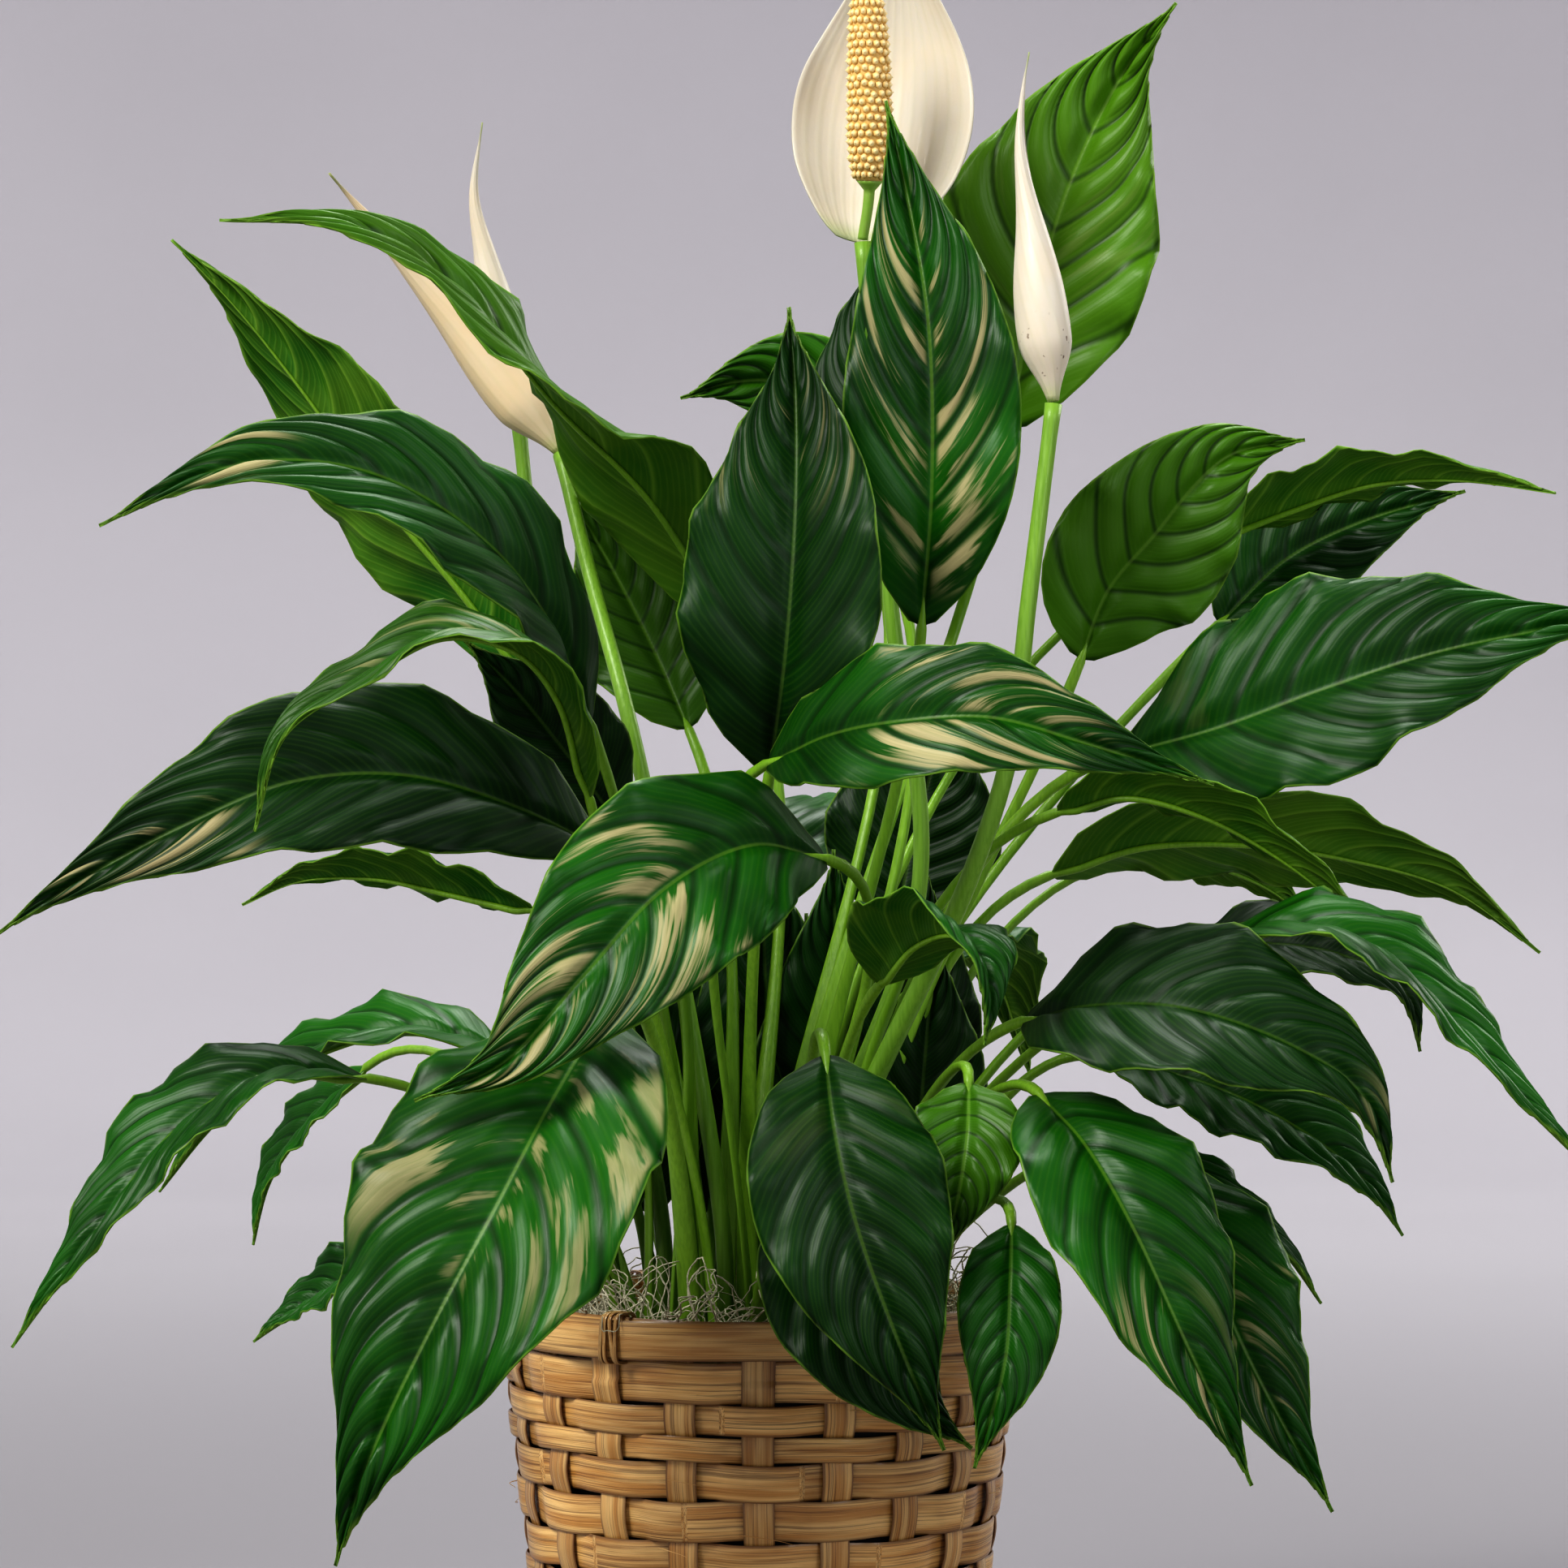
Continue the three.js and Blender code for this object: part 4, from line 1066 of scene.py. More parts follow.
def make_spike(settings, skins):
    """The spike: a short green foot and rings of small domed florets."""
    shares = np.linspace(0, 1, 80)
    frames = Frames(smooth_path(SPIKE_SPINE, shares), (0, -1, 0))
    places, radii = zip(*SPIKE_PROFILE)
    radius = np.interp(shares, places, radii)
    shape = Shape()
    low = shares <= 0.24
    foot = Frames(frames.at[low], (0, -1, 0))
    shape.tube(oval_rings(foot, radius[low], radius[low], 16), 1, tint=0.2)
    high = shares >= 0.22
    core = Frames(frames.at[high], (0, -1, 0))
    shape.tube(oval_rings(core, radius[high], radius[high], 24), tip=0.1)

    random = np.random.default_rng(31)
    rows, columns = settings.floret_rows, settings.floret_columns
    corner = np.radians(np.arange(6) * 60 + 30)
    tips = np.array([level for _, _, level in FLORET_DOME])[:, None]
    for row in range(rows):
        u = 0.235 + 0.74 * (row + 0.5) / rows
        at, right, face = (part[0] for part in frames.between(shares, np.array([u])))
        ahead = np.cross(right, face)
        reach = np.interp(u, places, radii)
        fit = np.clip(reach / 6.4, 0.25, 1.0)
        for column in range(columns):
            stray, grown = random.normal(0, 0.05), random.uniform(0.85, 1.1)
            angle = 2 * math.pi * (column + 0.5 * (row % 2) + 0.07 * row + stray) / columns
            out = right * math.cos(angle) + face * math.sin(angle)
            around = np.cross(ahead, out)
            middle = at + out * (reach - 0.25) + ahead * 4 * stray
            ring = [around * math.cos(c) * fit + ahead * math.sin(c) for c in corner]
            rings = np.array([
                [middle + out * lift * grown + point * size for point in ring]
                for lift, size, _ in FLORET_DOME
            ])
            shape.tube(rings, tip=tips)
    settle(shape.build("flower_open_spike", skins), "spadix", "flower_open_spadix")


class LILY_OT_stalks(bpy.types.Operator):
    """Build the four flower stalks"""

    bl_idname = "lily.stalks"
    bl_label = "Flower stalks"

    def execute(self, context):
        leaves, flowers = context.scene.lily_leaves, context.scene.lily_flowers
        skin = green_stem(leaves, "flower_stalk_skin", flowers.stalk_green, leaves.sunny_green)
        for stalk in STALKS:
            make_stalk(stalk, skin)
        return {"FINISHED"}


class LILY_OT_open_flower(bpy.types.Operator):
    """Build the open bract and its spike"""

    bl_idname = "lily.open_flower"
    bl_label = "Open flower"

    def execute(self, context):
        settings = context.scene.lily_flowers
        leaves = context.scene.lily_leaves
        make_open_bract(settings, bract_skin(settings))
        foot = green_stem(leaves, "spike_foot", settings.stalk_green, settings.bract_green)
        make_spike(settings, (floret_skin(settings), foot))
        return {"FINISHED"}


class LILY_OT_furled_flowers(bpy.types.Operator):
    """Build the three bracts that are still rolled up"""

    bl_idname = "lily.furled_flowers"
    bl_label = "Furled flowers"

    def execute(self, context):
        settings = context.scene.lily_flowers
        skin = bract_skin(settings)
        for bract in FURLED:
            make_furled_bract(bract, settings, skin)
        return {"FINISHED"}


# ---------- the basket ----------
ROW_HEIGHTS = (12.9, 9.5, 7.9, 11.5, 12.7, 11.9, 12.9, 12.1, 12.9, 11.7, 12.5)
ROW_GAP = 0.4
HOOP_LOW = BASKET_HEIGHT - HOOP_DEPTH
MID_INSET = 1.6
# Strips are numbered, so that each has a grain of its own. Each kind has its first number.
UPRIGHT_STRIPS, BASE_STRIPS, BAND_STRIPS, TIE_STRIPS = 90.0, 120.0, 150.0, 170.0
# Each turn of a tie: how far it stands to the side, and how far it slants.
TIE_TURNS = ((-2.9, 0.7), (-1.5, 0.3), (1.1, -0.6), (2.5, 0.4))
LOOSE_FIBRES = 26
SECTION_CREASE = 50  # degrees, sharper edges stay sharp


def bamboo(settings, name, shade):
    """Varnished split bamboo with fine grain along each strip. Shade darkens it."""
    recipe = Recipe(name)
    run, cross, strip = (recipe.attribute(key) for key in ("run", "cross", "strip"))
    fibre = recipe.figure(run * 0.012, cross * 9.0, strip * 7.3, 4.0, 0.7)
    broad = recipe.figure(run * 0.02, cross * 1.6, strip * 3.1, 2.0, 0.6)
    thread = recipe.figure(run * 0.02, cross * 24.0, strip * 5.7, 2.0)
    tone = recipe.figure(strip * 0.77, run * 0.011, 4.0, 1.0)
    wood = recipe.coats(
        settings.honey,
        (broad.step(0.32, 0.7), settings.pale),
        (tone.step(0.35, 0.7) * 0.28, settings.dark),
        ((1 - fibre.step(0.36, 0.52)) * 0.65, settings.dark),
        (thread.step(0.56, 0.72) * 0.4, settings.pale),
        (recipe.mottle(38.0, 3.0).step(0.55, 0.8) * 0.35, settings.dark),
        (abs(cross).step(0.78, 1.0) * 0.75, settings.dark),
        (shade, settings.dark),
    )
    return recipe.finish({
        "Base Color": wood,
        "Roughness": 0.36 + 0.2 * fibre,
        "Normal": recipe.bump(fibre * 0.6 + thread * 0.4, 0.00045),
        "Coat Weight": 0.5,
        "Coat Roughness": 0.22,
    })


def strip_section(height, thickness):
    """Corners of a strip's section as (along its height, outward, cross), anticlockwise."""
    cross = np.array((-1.0, -0.86, -0.35, 0.35, 0.86, 1.0))
    outward = np.array((0.1, 0.44, 0.56, 0.56, 0.44, 0.1)) * thickness
    ups = np.concatenate((cross, cross[::-1])) * height / 2
    outs = np.concatenate((outward, -outward[::-1] * 0.85))
    return ups, outs, np.concatenate((cross, cross[::-1]))


def woven_rings(bearings, radius, height, width, thickness):
    """Rings of a flat strip that runs round the basket, in the order of its bearings."""
    ups, outs, cross = strip_section(width, thickness)
    reach = radius[:, None] + outs[None, :]
    level = height[:, None] + ups[None, :]
    places = round_place(reach, np.asarray(bearings)[:, None], level)
    return places, cross


def leaned(rings, bearings, level):
    """Leans rings out with the basket's side, about a level."""
    tilt = SIDE_TAPER * (rings[..., 2] - level)
    return rings + round_place(tilt, bearings[:, None], 0.0)


def strip_rings(at, side, out, ups, outs):
    """Rings of a strip along a path, its section laid along side and out."""
    return at[:, None] + side * ups[..., None] + out * outs[..., None]


def weaver_wave(bearing, row, uprights):
    """1 where a row passes outside an upright and -1 where it passes inside, flattened."""
    wave = np.cos(np.radians(bearing) * uprights / 2 + math.pi * (row % 2))
    return np.sign(wave) * np.abs(wave) ** 0.6


def row_levels():
    """The middle of each row's height, from the rim down."""
    levels = []
    top = HOOP_LOW - ROW_GAP
    for height in ROW_HEIGHTS:
        levels.append(top - height / 2)
        top -= height + ROW_GAP
    return levels


def make_weavers(settings, skin):
    """The rows that go round the basket, in and out of the uprights."""
    random = np.random.default_rng(41)
    shape = Shape()
    bearings = turns(settings.uprights * 12, 360)
    angle = np.radians(bearings)
    thickness = settings.strip_thickness / MM
    for row, (level, height) in enumerate(zip(row_levels(), ROW_HEIGHTS)):
        wave = weaver_wave(bearings, row, settings.uprights)
        phases = random.uniform(0, 2 * math.pi, 4)
        drift = 0.35 * np.sin(3 * angle + phases[0]) + 0.3 * np.sin(11 * angle + phases[1])
        loose = 1 + 0.16 * np.sin(5 * angle + phases[2]) + 0.12 * np.sin(9 * angle + phases[3])
        radius = weave_outside(level) - MID_INSET + settings.strip_bow / MM * wave * loose * 0.9
        rings, cross = woven_rings(bearings, radius, level + drift, height, thickness)
        rings = leaned(rings, bearings, level)
        pieces = np.floor(bearings / 72 + row * 0.37) + 7 * row
        run = angle * weave_outside(level)
        shape.loop(
            rings[::-1], run=run[::-1, None], cross=cross[None, :], strip=pieces[::-1, None],
        )
    piece = shape.build("woven_strips", (skin,), SECTION_CREASE)
    settle(piece, "bamboo", "basket_body")


def make_uprights(settings, skin):
    """The flat uprights, which give way a little where each row crosses them."""
    shape = Shape()
    thickness = settings.strip_thickness / MM
    levels = np.array(row_levels())
    heights = np.linspace(1.2, BASKET_HEIGHT - 1.2, 100)
    count = np.arange(len(levels))[::-1]
    row = np.interp(heights, levels[::-1], count, left=len(levels) - 0.5, right=-0.5)
    held = smoothstep(BASKET_HEIGHT, HOOP_LOW - 4, heights)
    random = np.random.default_rng(17)
    for upright in range(settings.uprights):
        bearing = upright * 360 / settings.uprights
        sway = random.uniform(-0.5, 0.5)
        give = -np.cos(math.pi * (row + upright)) * held
        radius = weave_outside(heights) - MID_INSET + 0.9 * give
        width = settings.upright_width / MM * (0.78 + 0.22 * heights / BASKET_HEIGHT)
        ups, outs, cross = strip_section(1.0, thickness)
        out = round_place(1.0, bearing, 0.0)
        side = round_place(1.0, bearing + 90, 0.0)
        shift = sway * np.sin(heights / 21 + upright)
        at = out * radius[:, None] + side * shift[:, None] + UP * heights[:, None]
        rings = strip_rings(at, side, out, ups * width[:, None], outs)
        strip = UPRIGHT_STRIPS + upright
        shape.tube(rings[:, ::-1], run=heights[:, None], cross=cross[None, ::-1], strip=strip)
    settle(shape.build("woven_uprights", (skin,), SECTION_CREASE), "bamboo")


def make_base(settings, skin):
    """The bottom: two plaited layers of strips inside the lowest row."""
    shape = Shape()
    thickness = settings.strip_thickness / MM
    reach = weave_outside(0) - 2.4
    pitch = 11.2
    count = 11
    rows = (np.arange(count) - (count - 1) / 2) * pitch
    for layer in (0, 1):
        for index, offset in enumerate(rows):
            half = math.sqrt(max(reach**2 - (abs(offset) + pitch / 2) ** 2, 0.0))
            if half < pitch:
                continue
            run = np.linspace(-half, half, 60)
            wave = np.cos(math.pi * (run / pitch + index + layer)) * 0.62
            ups, outs, cross = strip_section(pitch - 0.9, thickness)
            ahead = np.array((1.0, 0, 0) if layer else (0, 1.0, 0))
            side = np.cross(UP, ahead)
            at = ahead * run[:, None] + side * offset + UP * (1.75 + wave)[:, None]
            rings = strip_rings(at, side, UP, ups, outs)
            strip = BASE_STRIPS + index + 20 * layer
            shape.tube(rings[:, ::-1], run=run[:, None], cross=cross[None, ::-1], strip=strip)
    settle(shape.build("plaited_base", (skin,), SECTION_CREASE), "bamboo")


def make_rim_band(name, node, inner_face, thickness, skin, seed):
    """A split bamboo band closed round the rim."""
    random = np.random.default_rng(seed)
    bearings = turns(240, 360)
    angle = np.radians(bearings)
    phases = random.uniform(0, 2 * math.pi, 3)
    wobble = 0.25 * np.sin(7 * angle + phases[0]) + 0.15 * np.sin(17 * angle + phases[1])
    level = HOOP_LOW + HOOP_DEPTH / 2 + 0.35 * np.sin(4 * angle + phases[2])
    radius = inner_face + thickness / 2 + wobble
    rings, cross = woven_rings(bearings, radius, level, HOOP_DEPTH - 0.7, thickness * 0.85)
    rings = leaned(rings, bearings, level[:, None])
    run = angle * RIM_RADIUS
    shape = Shape()
    shape.loop(rings[::-1], run=run[::-1, None], cross=cross[None, :], strip=BAND_STRIPS + seed)
    settle(shape.build(name, (skin,), SECTION_CREASE), "bamboo", node)


def make_rim_tie(name, bearing, skin):
    """Four turns of thin cane pulled over the rim bands side by side."""
    inner = weave_outside(HOOP_LOW) - WEAVE_THICKNESS - 3.1
    outer = weave_outside(BASKET_HEIGHT) + 3.3
    middle, half = (inner + outer) / 2, (outer - inner) / 2
    low, high = HOOP_LOW - 1.2, BASKET_HEIGHT + 1.1
    turn = turns(72)
    square = 0.45
    cosine, sine = np.cos(turn), np.sin(turn)
    radial = middle + half * np.sign(cosine) * np.abs(cosine) ** square
    level = (low + high) / 2 + (high - low) / 2 * np.sign(sine) * np.abs(sine) ** square
    radial = radial + SIDE_TAPER * (level - BASKET_HEIGHT) * 0.5
    shape = Shape()
    out, side = round_place(1.0, bearing, 0.0), round_place(1.0, bearing + 90, 0.0)
    for number, (offset, slant) in enumerate(TIE_TURNS):
        across = offset + slant * (level - 143) / 7
        at = out * radial[:, None] + side * across[:, None] + UP * level[:, None]
        ahead = unit(np.roll(at, -1, 0) - np.roll(at, 1, 0))
        outward = unit(np.cross(side, ahead))
        ups, outs, cross = strip_section(1.35, 0.9)
        rings = strip_rings(at, side, outward[:, None], ups, outs)
        strip = TIE_STRIPS + number + bearing / 7
        shape.loop(rings, run=turn[:, None] * 9, cross=cross[None, :], strip=strip)
    node = "rim_lashing_" + name.rsplit("_", 1)[1]
    settle(shape.build(name, (skin,), SECTION_CREASE), "lashing", node)


def make_fibres(skin):
    """Loose fibres that have sprung from the strips."""
    random = np.random.default_rng(5)
    shape = Shape()
    for _ in range(LOOSE_FIBRES):
        bearing = random.uniform(0, 360)
        height = random.uniform(20, 146)
        length = random.uniform(6, 24) / RIM_RADIUS
        shares = np.linspace(0, 1, 10)
        bearings = bearing + np.degrees(length) * shares
        lift = random.uniform(0.8, 2.2) * np.sin(math.pi * shares) ** 1.4
        radius = weave_outside(height) + 1.0 + lift
        level = height + random.uniform(-3, 3) * shares**2
        frames = Frames(round_place(radius, bearings, level), UP)
        thick = 0.17 * (1 - 0.6 * shares)
        shape.tube(oval_rings(frames, thick, thick, 5), run=0.0, cross=0.2, strip=bearing)
    settle(shape.build("loose_fibres", (skin,)), "bamboo")


class LILY_OT_basket(bpy.types.Operator):
    """Build the woven bamboo basket with its rim bands and ties"""

    bl_idname = "lily.basket"
    bl_label = "Basket"

    def execute(self, context):
        settings = context.scene.lily_basket
        strips = bamboo(settings, "bamboo_strips", 0.0)
        uprights = bamboo(settings, "bamboo_uprights", 0.16)
        make_weavers(settings, strips)
        make_uprights(settings, uprights)
        make_base(settings, uprights)
        outer_face = weave_outside(HOOP_LOW + HOOP_DEPTH / 2) + 0.4
        inner_face = outer_face - WEAVE_THICKNESS - 3.0
        make_rim_band("rim_band_outer", "rim_hoop_outer", outer_face, 2.0, strips, 1)
        make_rim_band("rim_band_inner", "rim_hoop_inner", inner_face, 2.2, uprights, 2)
        for side, bearing in LASHING_BEARINGS.items():
            make_rim_tie("rim_tie_" + side, bearing, strips)
        make_fibres(strips)
        return {"FINISHED"}


# ---------- liner, soil and moss ----------
DUST_GREY = (0.07, 0.062, 0.055)
CRUMB_BROWN = (0.07, 0.042, 0.024)
BARK_BROWN = (0.2, 0.13, 0.075)
MOSS_GREEN = (0.33, 0.34, 0.2)
STRAND_LENGTH = 18, 42  # shortest and longest
STRAND_CLIMB = 2.0, 24.0  # lowest and highest
STRAY_EVERY = 22  # one strand in so many strays over the rim
FLOOR_INSIDE, FLOOR_OVER_MAT = 131.0, 143.0  # heights that strands start from
MAT_INNER = 56.0  # inner radius of the moss mat


def plastic(settings):
    """Scuffed black nursery plastic."""
    recipe = Recipe("liner_plastic")
    grain = recipe.mottle(450.0, 3.0)
    dust = recipe.mottle(35.0, 3.0)
    black = recipe.mix(dust.step(0.5, 0.8) * 0.5, settings.liner_black, DUST_GREY)
    return recipe.finish({
        "Base Color": black,
        "Roughness": 0.4 + 0.25 * dust,
        "Normal": recipe.bump(grain, 0.0002),
    })


def compost(settings):
    """Dark damp crumbs with a few pale bits of bark."""
    recipe = Recipe("compost")
    crumbs = recipe.node("TexVoronoi", {}, {"Vector": recipe.place(), "Scale": 420.0})
    tone = recipe.mottle(120.0, 4.0)
    brown = recipe.coats(
        settings.soil_brown,
        (tone.step(0.35, 0.75), CRUMB_BROWN),
        (recipe.mottle(260.0, 2.0).step(0.62, 0.68) * 0.7, BARK_BROWN),
    )
    return recipe.finish({
        "Base Color": brown,
        "Roughness": 0.75 + 0.2 * tone,
        "Normal": recipe.bump(1 - crumbs, 0.0016),
    })


def dry_moss(settings):
    """Grey-cream dried moss, darker where it lies deep."""
    recipe = Recipe("dry_moss")
    fibre = recipe.mottle(500.0, 4.0, 0.7)
    cream = recipe.coats(
        settings.moss_pale,
        (recipe.mottle(60.0, 2.0).step(0.35, 0.7) * 0.5, MOSS_GREEN),
        (fibre.step(0.35, 0.7) * 0.5, settings.moss_dark),
        (recipe.attribute("shade"), settings.moss_dark),
    )
    return recipe.finish({
        "Base Color": cream,
        "Roughness": 0.8 + 0.15 * fibre,
        "Normal": recipe.bump(fibre, 0.0008),
    })


def turned(shape, profile, steps, finish=0, bump=None, **values):
    """A profile of (radius, height) turned round +Z, going up its outside."""
    angle = turns(steps, 360)
    radius, height = (np.array(part, float) for part in zip(*profile))
    rings = round_place(radius[None, :], angle[:, None], height[None, :])
    if bump is not None:
        rings = rings + bump(rings)
    faces = grid_faces(steps + 1, len(profile)) % (steps * len(profile))
    shape.add(rings, faces.tolist(), finish, **values)


def make_liner(skin):
    """A thin pot with a rolled lip, standing on the basket's base."""
    bottom, top = 3.4, LINER_TOP
    clear, wall = 4.9, 1.3
    foot, mouth = weave_outside(bottom) - clear, weave_outside(top) - clear
    profile = (
        (0.01, bottom), (foot - 2, bottom), (foot, bottom + 2), (mouth - 0.6, top - 8),
        (mouth + 0.5, top - 7.4), (mouth + 0.7, top - 1), (mouth, top), (mouth - wall, top - 0.6),
        (mouth - wall - 0.6, top - 8), (foot - wall, bottom + 3), (foot - 3, bottom + wall),
        (0.01, bottom + wall),
    )
    shape = Shape()
    turned(shape, profile, 96)
    settle(shape.build("nursery_pot", (skin,), crease=40), "liner", "liner_pot")


def lumps(seed, size, height):
    """A bump function: a sum of waves of about a size, with a height."""
    random = np.random.default_rng(seed)
    waves = [
        (random.normal(0, 1, 3) * 2 * math.pi / size / 1.5, random.uniform(0, 2 * math.pi))
        for _ in range(14)
    ]

    def bump(points):
        total = sum(np.sin(points @ wave + phase) for wave, phase in waves)
        return UP * (height * total / 4)[..., None]

    return bump


def make_soil(skin):
    """A crumbly plug of compost, flat underneath."""
    clear = 6.4
    radii = np.linspace(1, 0, 40)
    edge = weave_outside(SOIL_TOP) - clear
    low = 5.2
    crown = SOIL_TOP - 1.6
    surface = [(max(edge * share, 0.01), crown + 0.6 * (1 - share**6)) for share in radii]
    profile = [(0.01, low), (weave_outside(low) - clear - 2, low), *surface]
    lump = lumps(3, 9, 0.9)
    crumb = lumps(4, 3.2, 0.45)

    def bump(points):
        loose = smoothstep(low + 60, SOIL_TOP - 6, points[..., 2])[..., None]
        loose = loose * smoothstep(0.0, 8.0, np.hypot(points[..., 0], points[..., 1]))[..., None]
        return (lump(points) + crumb(points)) * loose

    shape = Shape()
    turned(shape, profile, 220, bump=bump)
    settle(shape.build("potting_soil", (skin,)), "soil", "soil")


def make_moss_mat(skin):
    """The matted moss that lies round the edge of the soil."""
    shares = np.linspace(0, math.pi, 16)
    inner, outer, low = MAT_INNER, weave_outside(LINER_TOP) - 6.6, SOIL_TOP - 0.4
    middle, half = (inner + outer) / 2, (outer - inner) / 2
    crown = [(middle + half * math.cos(turn), low + 13 * math.sin(turn) ** 0.7) for turn in shares]
    profile = [(inner, low), (outer, low), *crown[1:-1]]
    lump = lumps(8, 14, 2.4)
    tangle = lumps(9, 4, 0.9)

    def bump(points):
        above = smoothstep(low, low + 6, points[..., 2])[..., None]
        return (lump(points) + tangle(points)) * above

    shape = Shape()
    turned(shape, profile, 240, bump=bump, shade=0.55)
    settle(shape.build("moss_mat_bed", (skin,)), "moss", "moss_mat")


def make_moss_strands(settings, skin):
    """Loose curly threads of moss, a few of them over the rim."""
    random = np.random.default_rng(23)
    shape = Shape()
    thick = settings.strand_thickness / MM / 2
    steps = 26
    shares = np.linspace(0, 1, steps)
    for number in range(settings.strands):
        stray = number % STRAY_EVERY == 0
        radius = random.uniform(70, 78) if stray else random.uniform(40, 74)
        bearing = random.uniform(0, 360)
        heading = random.uniform(0, 2 * math.pi)
        if stray:
            heading = math.radians(bearing) + random.uniform(-0.7, 0.7)
        length = random.uniform(*STRAND_LENGTH)
        curl = random.uniform(-1, 1) * 5.5
        swing = random.uniform(1.0, 3.2)
        angle = heading + curl * shares + 0.9 * np.sin(2 * math.pi * swing * shares)
        step = length / steps
        x = np.cumsum(np.cos(angle)) * step
        y = np.cumsum(np.sin(angle)) * step
        climb = random.uniform(*STRAND_CLIMB) * np.sin(math.pi * shares * random.uniform(0.6, 1.0))
        floor = FLOOR_INSIDE if radius < MAT_INNER else FLOOR_OVER_MAT
        start = round_place(radius, bearing, floor + random.uniform(-1.5, 3.0))
        path = start + np.stack((x, y, climb), 1)
        over = np.hypot(path[:, 0], path[:, 1])
        rim = weave_outside(BASKET_HEIGHT)
        crossing = smoothstep(rim - 14, rim - 5, over)
        path[:, 2] = np.maximum(path[:, 2], (BASKET_HEIGHT + 1.2) * crossing)
        limit = np.minimum(1.0, (rim - 8.5 if not stray else rim + 4.5) / over)
        path[:, :2] *= limit[:, None]
        if stray:
            path[:, 2] -= 5 * smoothstep(rim + 2.2, rim + 4.5, over)
        frames = Frames(path + random.normal(0, 0.12, path.shape), UP + (0.1, 0.2, 0))
        taper = thick * (1 - 0.55 * shares) * random.uniform(0.75, 1.15)
        shade = random.uniform(0, 0.3)
        shape.tube(oval_rings(frames, taper, taper, 5), shade=shade)
    settle(shape.build("moss_strands", (skin,)), "moss")


class LILY_OT_ground(bpy.types.Operator):
    """Build the nursery pot, the soil and the moss"""

    bl_idname = "lily.ground"
    bl_label = "Pot, soil and moss"

    def execute(self, context):
        settings = context.scene.lily_ground
        make_liner(plastic(settings))
        make_soil(compost(settings))
        moss = dry_moss(settings)
        make_moss_mat(moss)
        make_moss_strands(settings, moss)
        return {"FINISHED"}


# ---------- the stage ----------
def backdrop(settings):
    """Matt paper, lighter further out, where less light falls on it."""
    recipe = Recipe("floor_paper")
    cloud = recipe.mottle(2.0, 2.0)
    length = recipe.node("VectorMath", {"operation": "LENGTH"}, {0: recipe.place()}, output=1)
    colour = recipe.mix(length.step(0.5, 3.4), settings.floor_colour, settings.wall_colour)
    colour = recipe.mix(cloud * 0.15, colour, settings.floor_colour)
    return recipe.finish({"Base Color": colour, "Roughness": 0.9})


def make_floor(settings):
    """A round floor whose edge curves up all round, so that no horizon shows."""
    flat, bend, high = 2600, 1600, 2600
    turn = np.linspace(0, math.pi / 2, 20)
    profile = [(share * flat, 0.0) for share in (0.0001, 0.1, 0.3, 0.6, 0.9)]
    profile += [(flat + bend * math.sin(a), bend * (1 - math.cos(a))) for a in turn]
    profile.append((flat + bend, high))
    shape = Shape()
    turned(shape, profile[::-1], 96)
    floor = shape.build("floor", (backdrop(settings),))


# Each light: its place, its width and height, its power and its colour.
LIGHTS = {
    "key_light": ((-1.9, -2.0, 2.9), (1.5, 1.5), 120, (1.0, 0.98, 0.95)),
    "window_light": ((1.6, -1.9, 1.3), (0.7, 1.5), 13, (0.95, 0.97, 1.0)),
    "top_light": ((0.3, 1.4, 3.2), (1.8, 1.2), 74, (1.0, 1.0, 1.0)),
    "back_light": ((2.2, 1.6, 1.6), (1.0, 1.0), 20, (1.0, 0.99, 0.96)),
}
LIT_MIDDLE = (0.0, 0.0, 0.32)
AIR_COLOUR = (0.82, 0.8, 0.86, 1.0)
AIR_STRENGTH = 0.2


def area_light(name, place, size, power, colour):
    """A soft light that faces the middle of the lily."""
    data = bpy.data.lights.new(name, "AREA")
    data.shape = "RECTANGLE"
    data.size, data.size_y = size
    data.energy = power
    data.color = colour
    light = bpy.data.objects.new(name, data)
    bpy.context.scene.collection.objects.link(light)
    light.location = place
    direction = unit(np.array(LIT_MIDDLE) - np.array(place))
    light.rotation_euler = mathutils.Vector(direction).to_track_quat("-Z", "Y").to_euler()


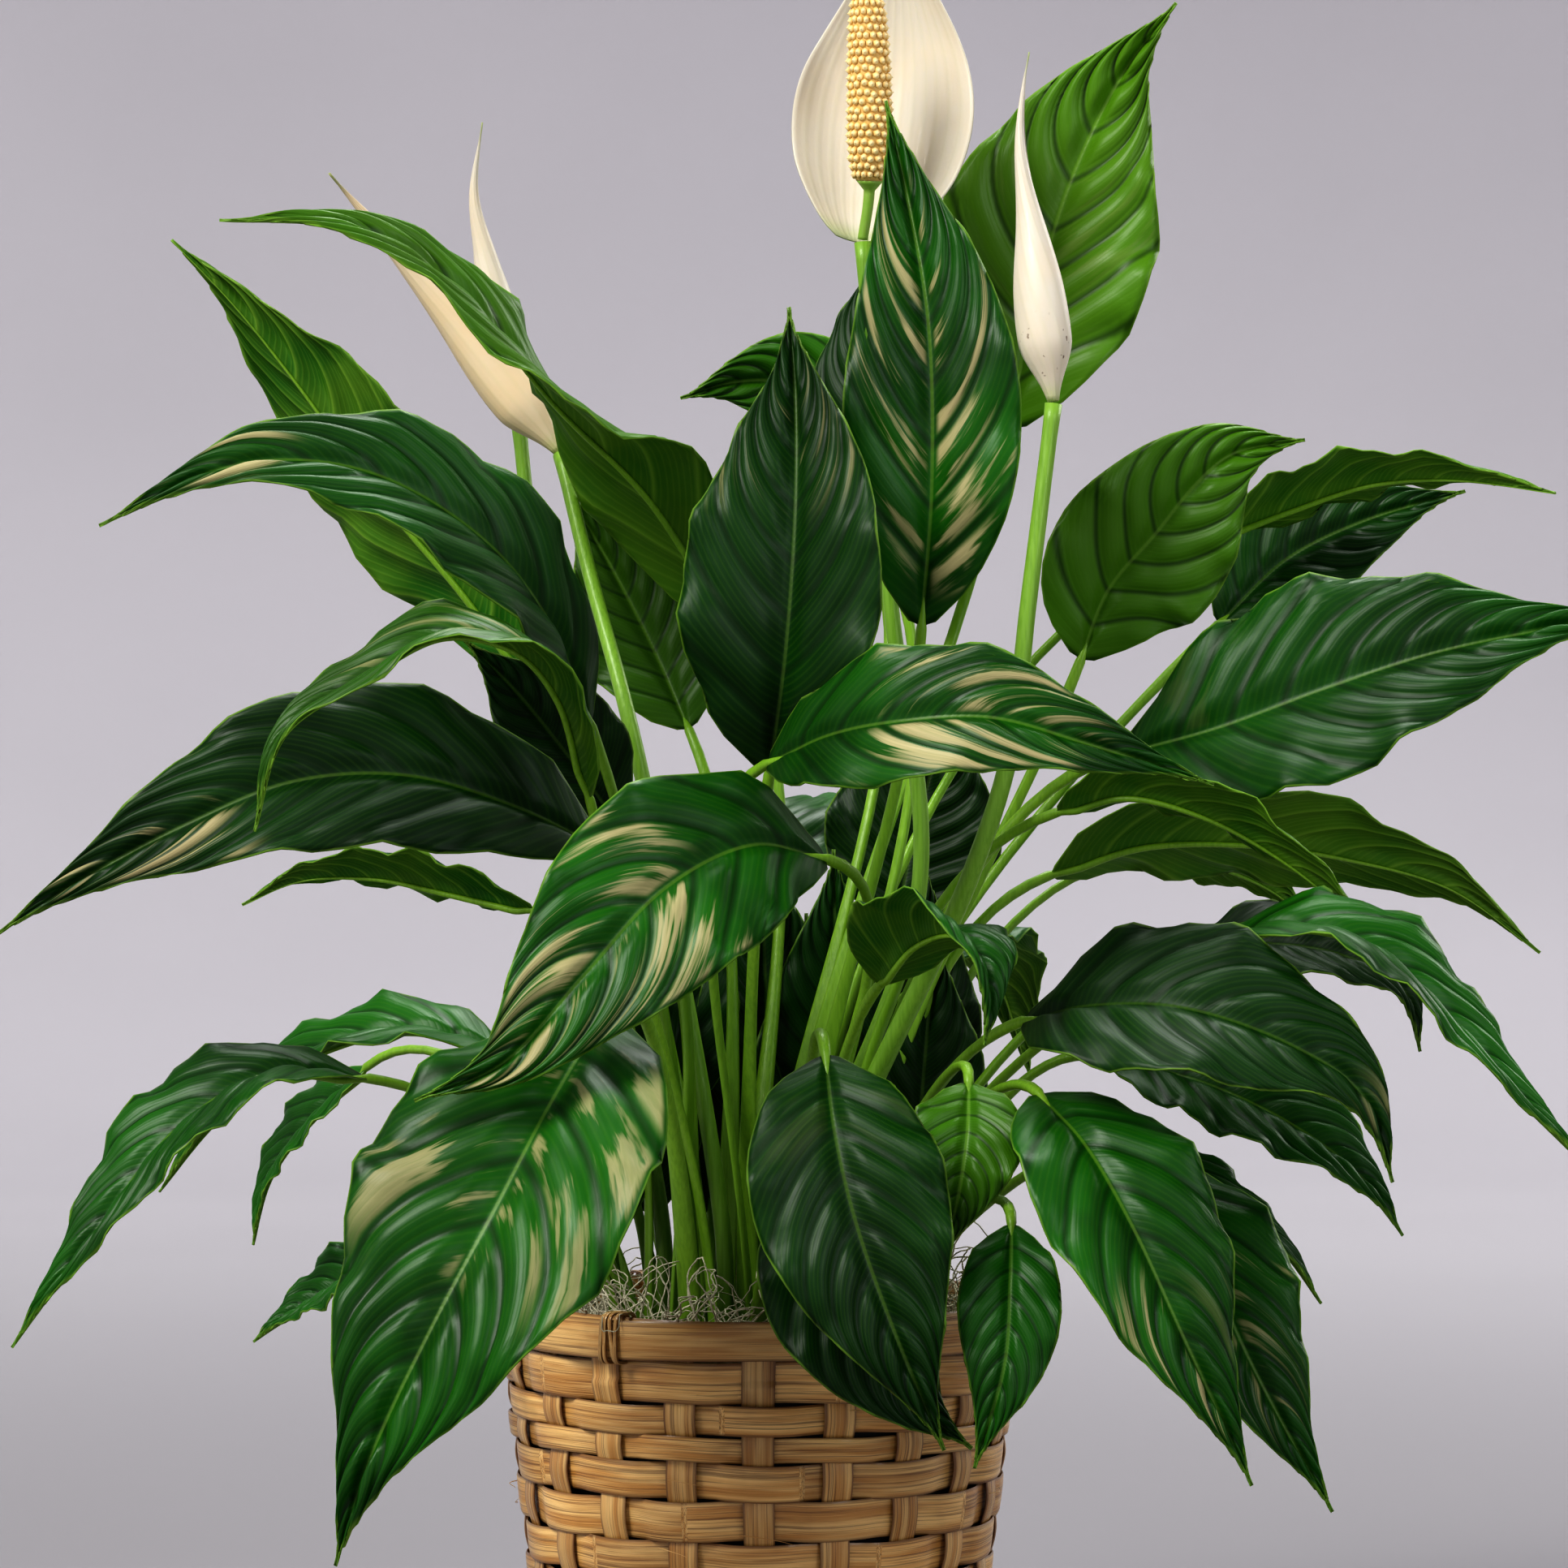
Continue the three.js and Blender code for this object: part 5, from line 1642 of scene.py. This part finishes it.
class LILY_OT_stage(bpy.types.Operator):
    """Build the floor, the soft lights and the camera"""

    bl_idname = "lily.stage"
    bl_label = "Stage"

    def execute(self, context):
        scene = context.scene
        settings = scene.lily_stage
        make_floor(settings)
        for name, light in LIGHTS.items():
            area_light(name, *light)
        world = bpy.data.worlds.new("studio_air")
        world.use_nodes = True
        air = world.node_tree.nodes["Background"].inputs
        air["Color"].default_value = AIR_COLOUR
        air["Strength"].default_value = AIR_STRENGTH
        scene.world = world
        scene.view_settings.view_transform = "Standard"
        scene.view_settings.look = "High Contrast"
        scene.view_settings.exposure = 0.0

        data = bpy.data.cameras.new("camera")
        data.sensor_width = 36
        data.lens = settings.focal_length
        data.clip_end = 100
        camera = bpy.data.objects.new("camera", data)
        camera.location = (
            settings.camera_offset, -settings.camera_distance, settings.camera_height,
        )
        camera.rotation_euler = (math.pi / 2, 0, 0)
        scene.collection.objects.link(camera)
        scene.camera = camera
        return {"FINISHED"}


# ---------- the add-on ----------
OPERATORS = (
    LILY_OT_stage, LILY_OT_leaves, LILY_OT_stalks, LILY_OT_open_flower, LILY_OT_furled_flowers,
    LILY_OT_basket, LILY_OT_ground,
)


class LILY_PT_panel(bpy.types.Panel):
    """Lists the lily's operators"""

    bl_idname = "LILY_PT_panel"
    bl_label = "Potted Peace Lily"
    bl_space_type = "VIEW_3D"
    bl_region_type = "UI"
    bl_category = "Lily"

    def draw(self, context):
        for operator in OPERATORS:
            self.layout.operator(operator.bl_idname, text=operator.bl_label)


def register():
    for kind in (*SETTINGS.values(), *OPERATORS, LILY_PT_panel):
        bpy.utils.register_class(kind)
    for name, kind in SETTINGS.items():
        setattr(bpy.types.Scene, name, bpy.props.PointerProperty(type=kind))


def unregister():
    for name in SETTINGS:
        delattr(bpy.types.Scene, name)
    for kind in (LILY_PT_panel, *reversed(OPERATORS), *reversed(SETTINGS.values())):
        bpy.utils.unregister_class(kind)


def main():
    register()
    bpy.ops.lily.stage()
    bpy.ops.lily.leaves()
    bpy.ops.lily.stalks()
    bpy.ops.lily.open_flower()
    bpy.ops.lily.furled_flowers()
    bpy.ops.lily.basket()
    bpy.ops.lily.ground()


if __name__ == "__main__":
    main()
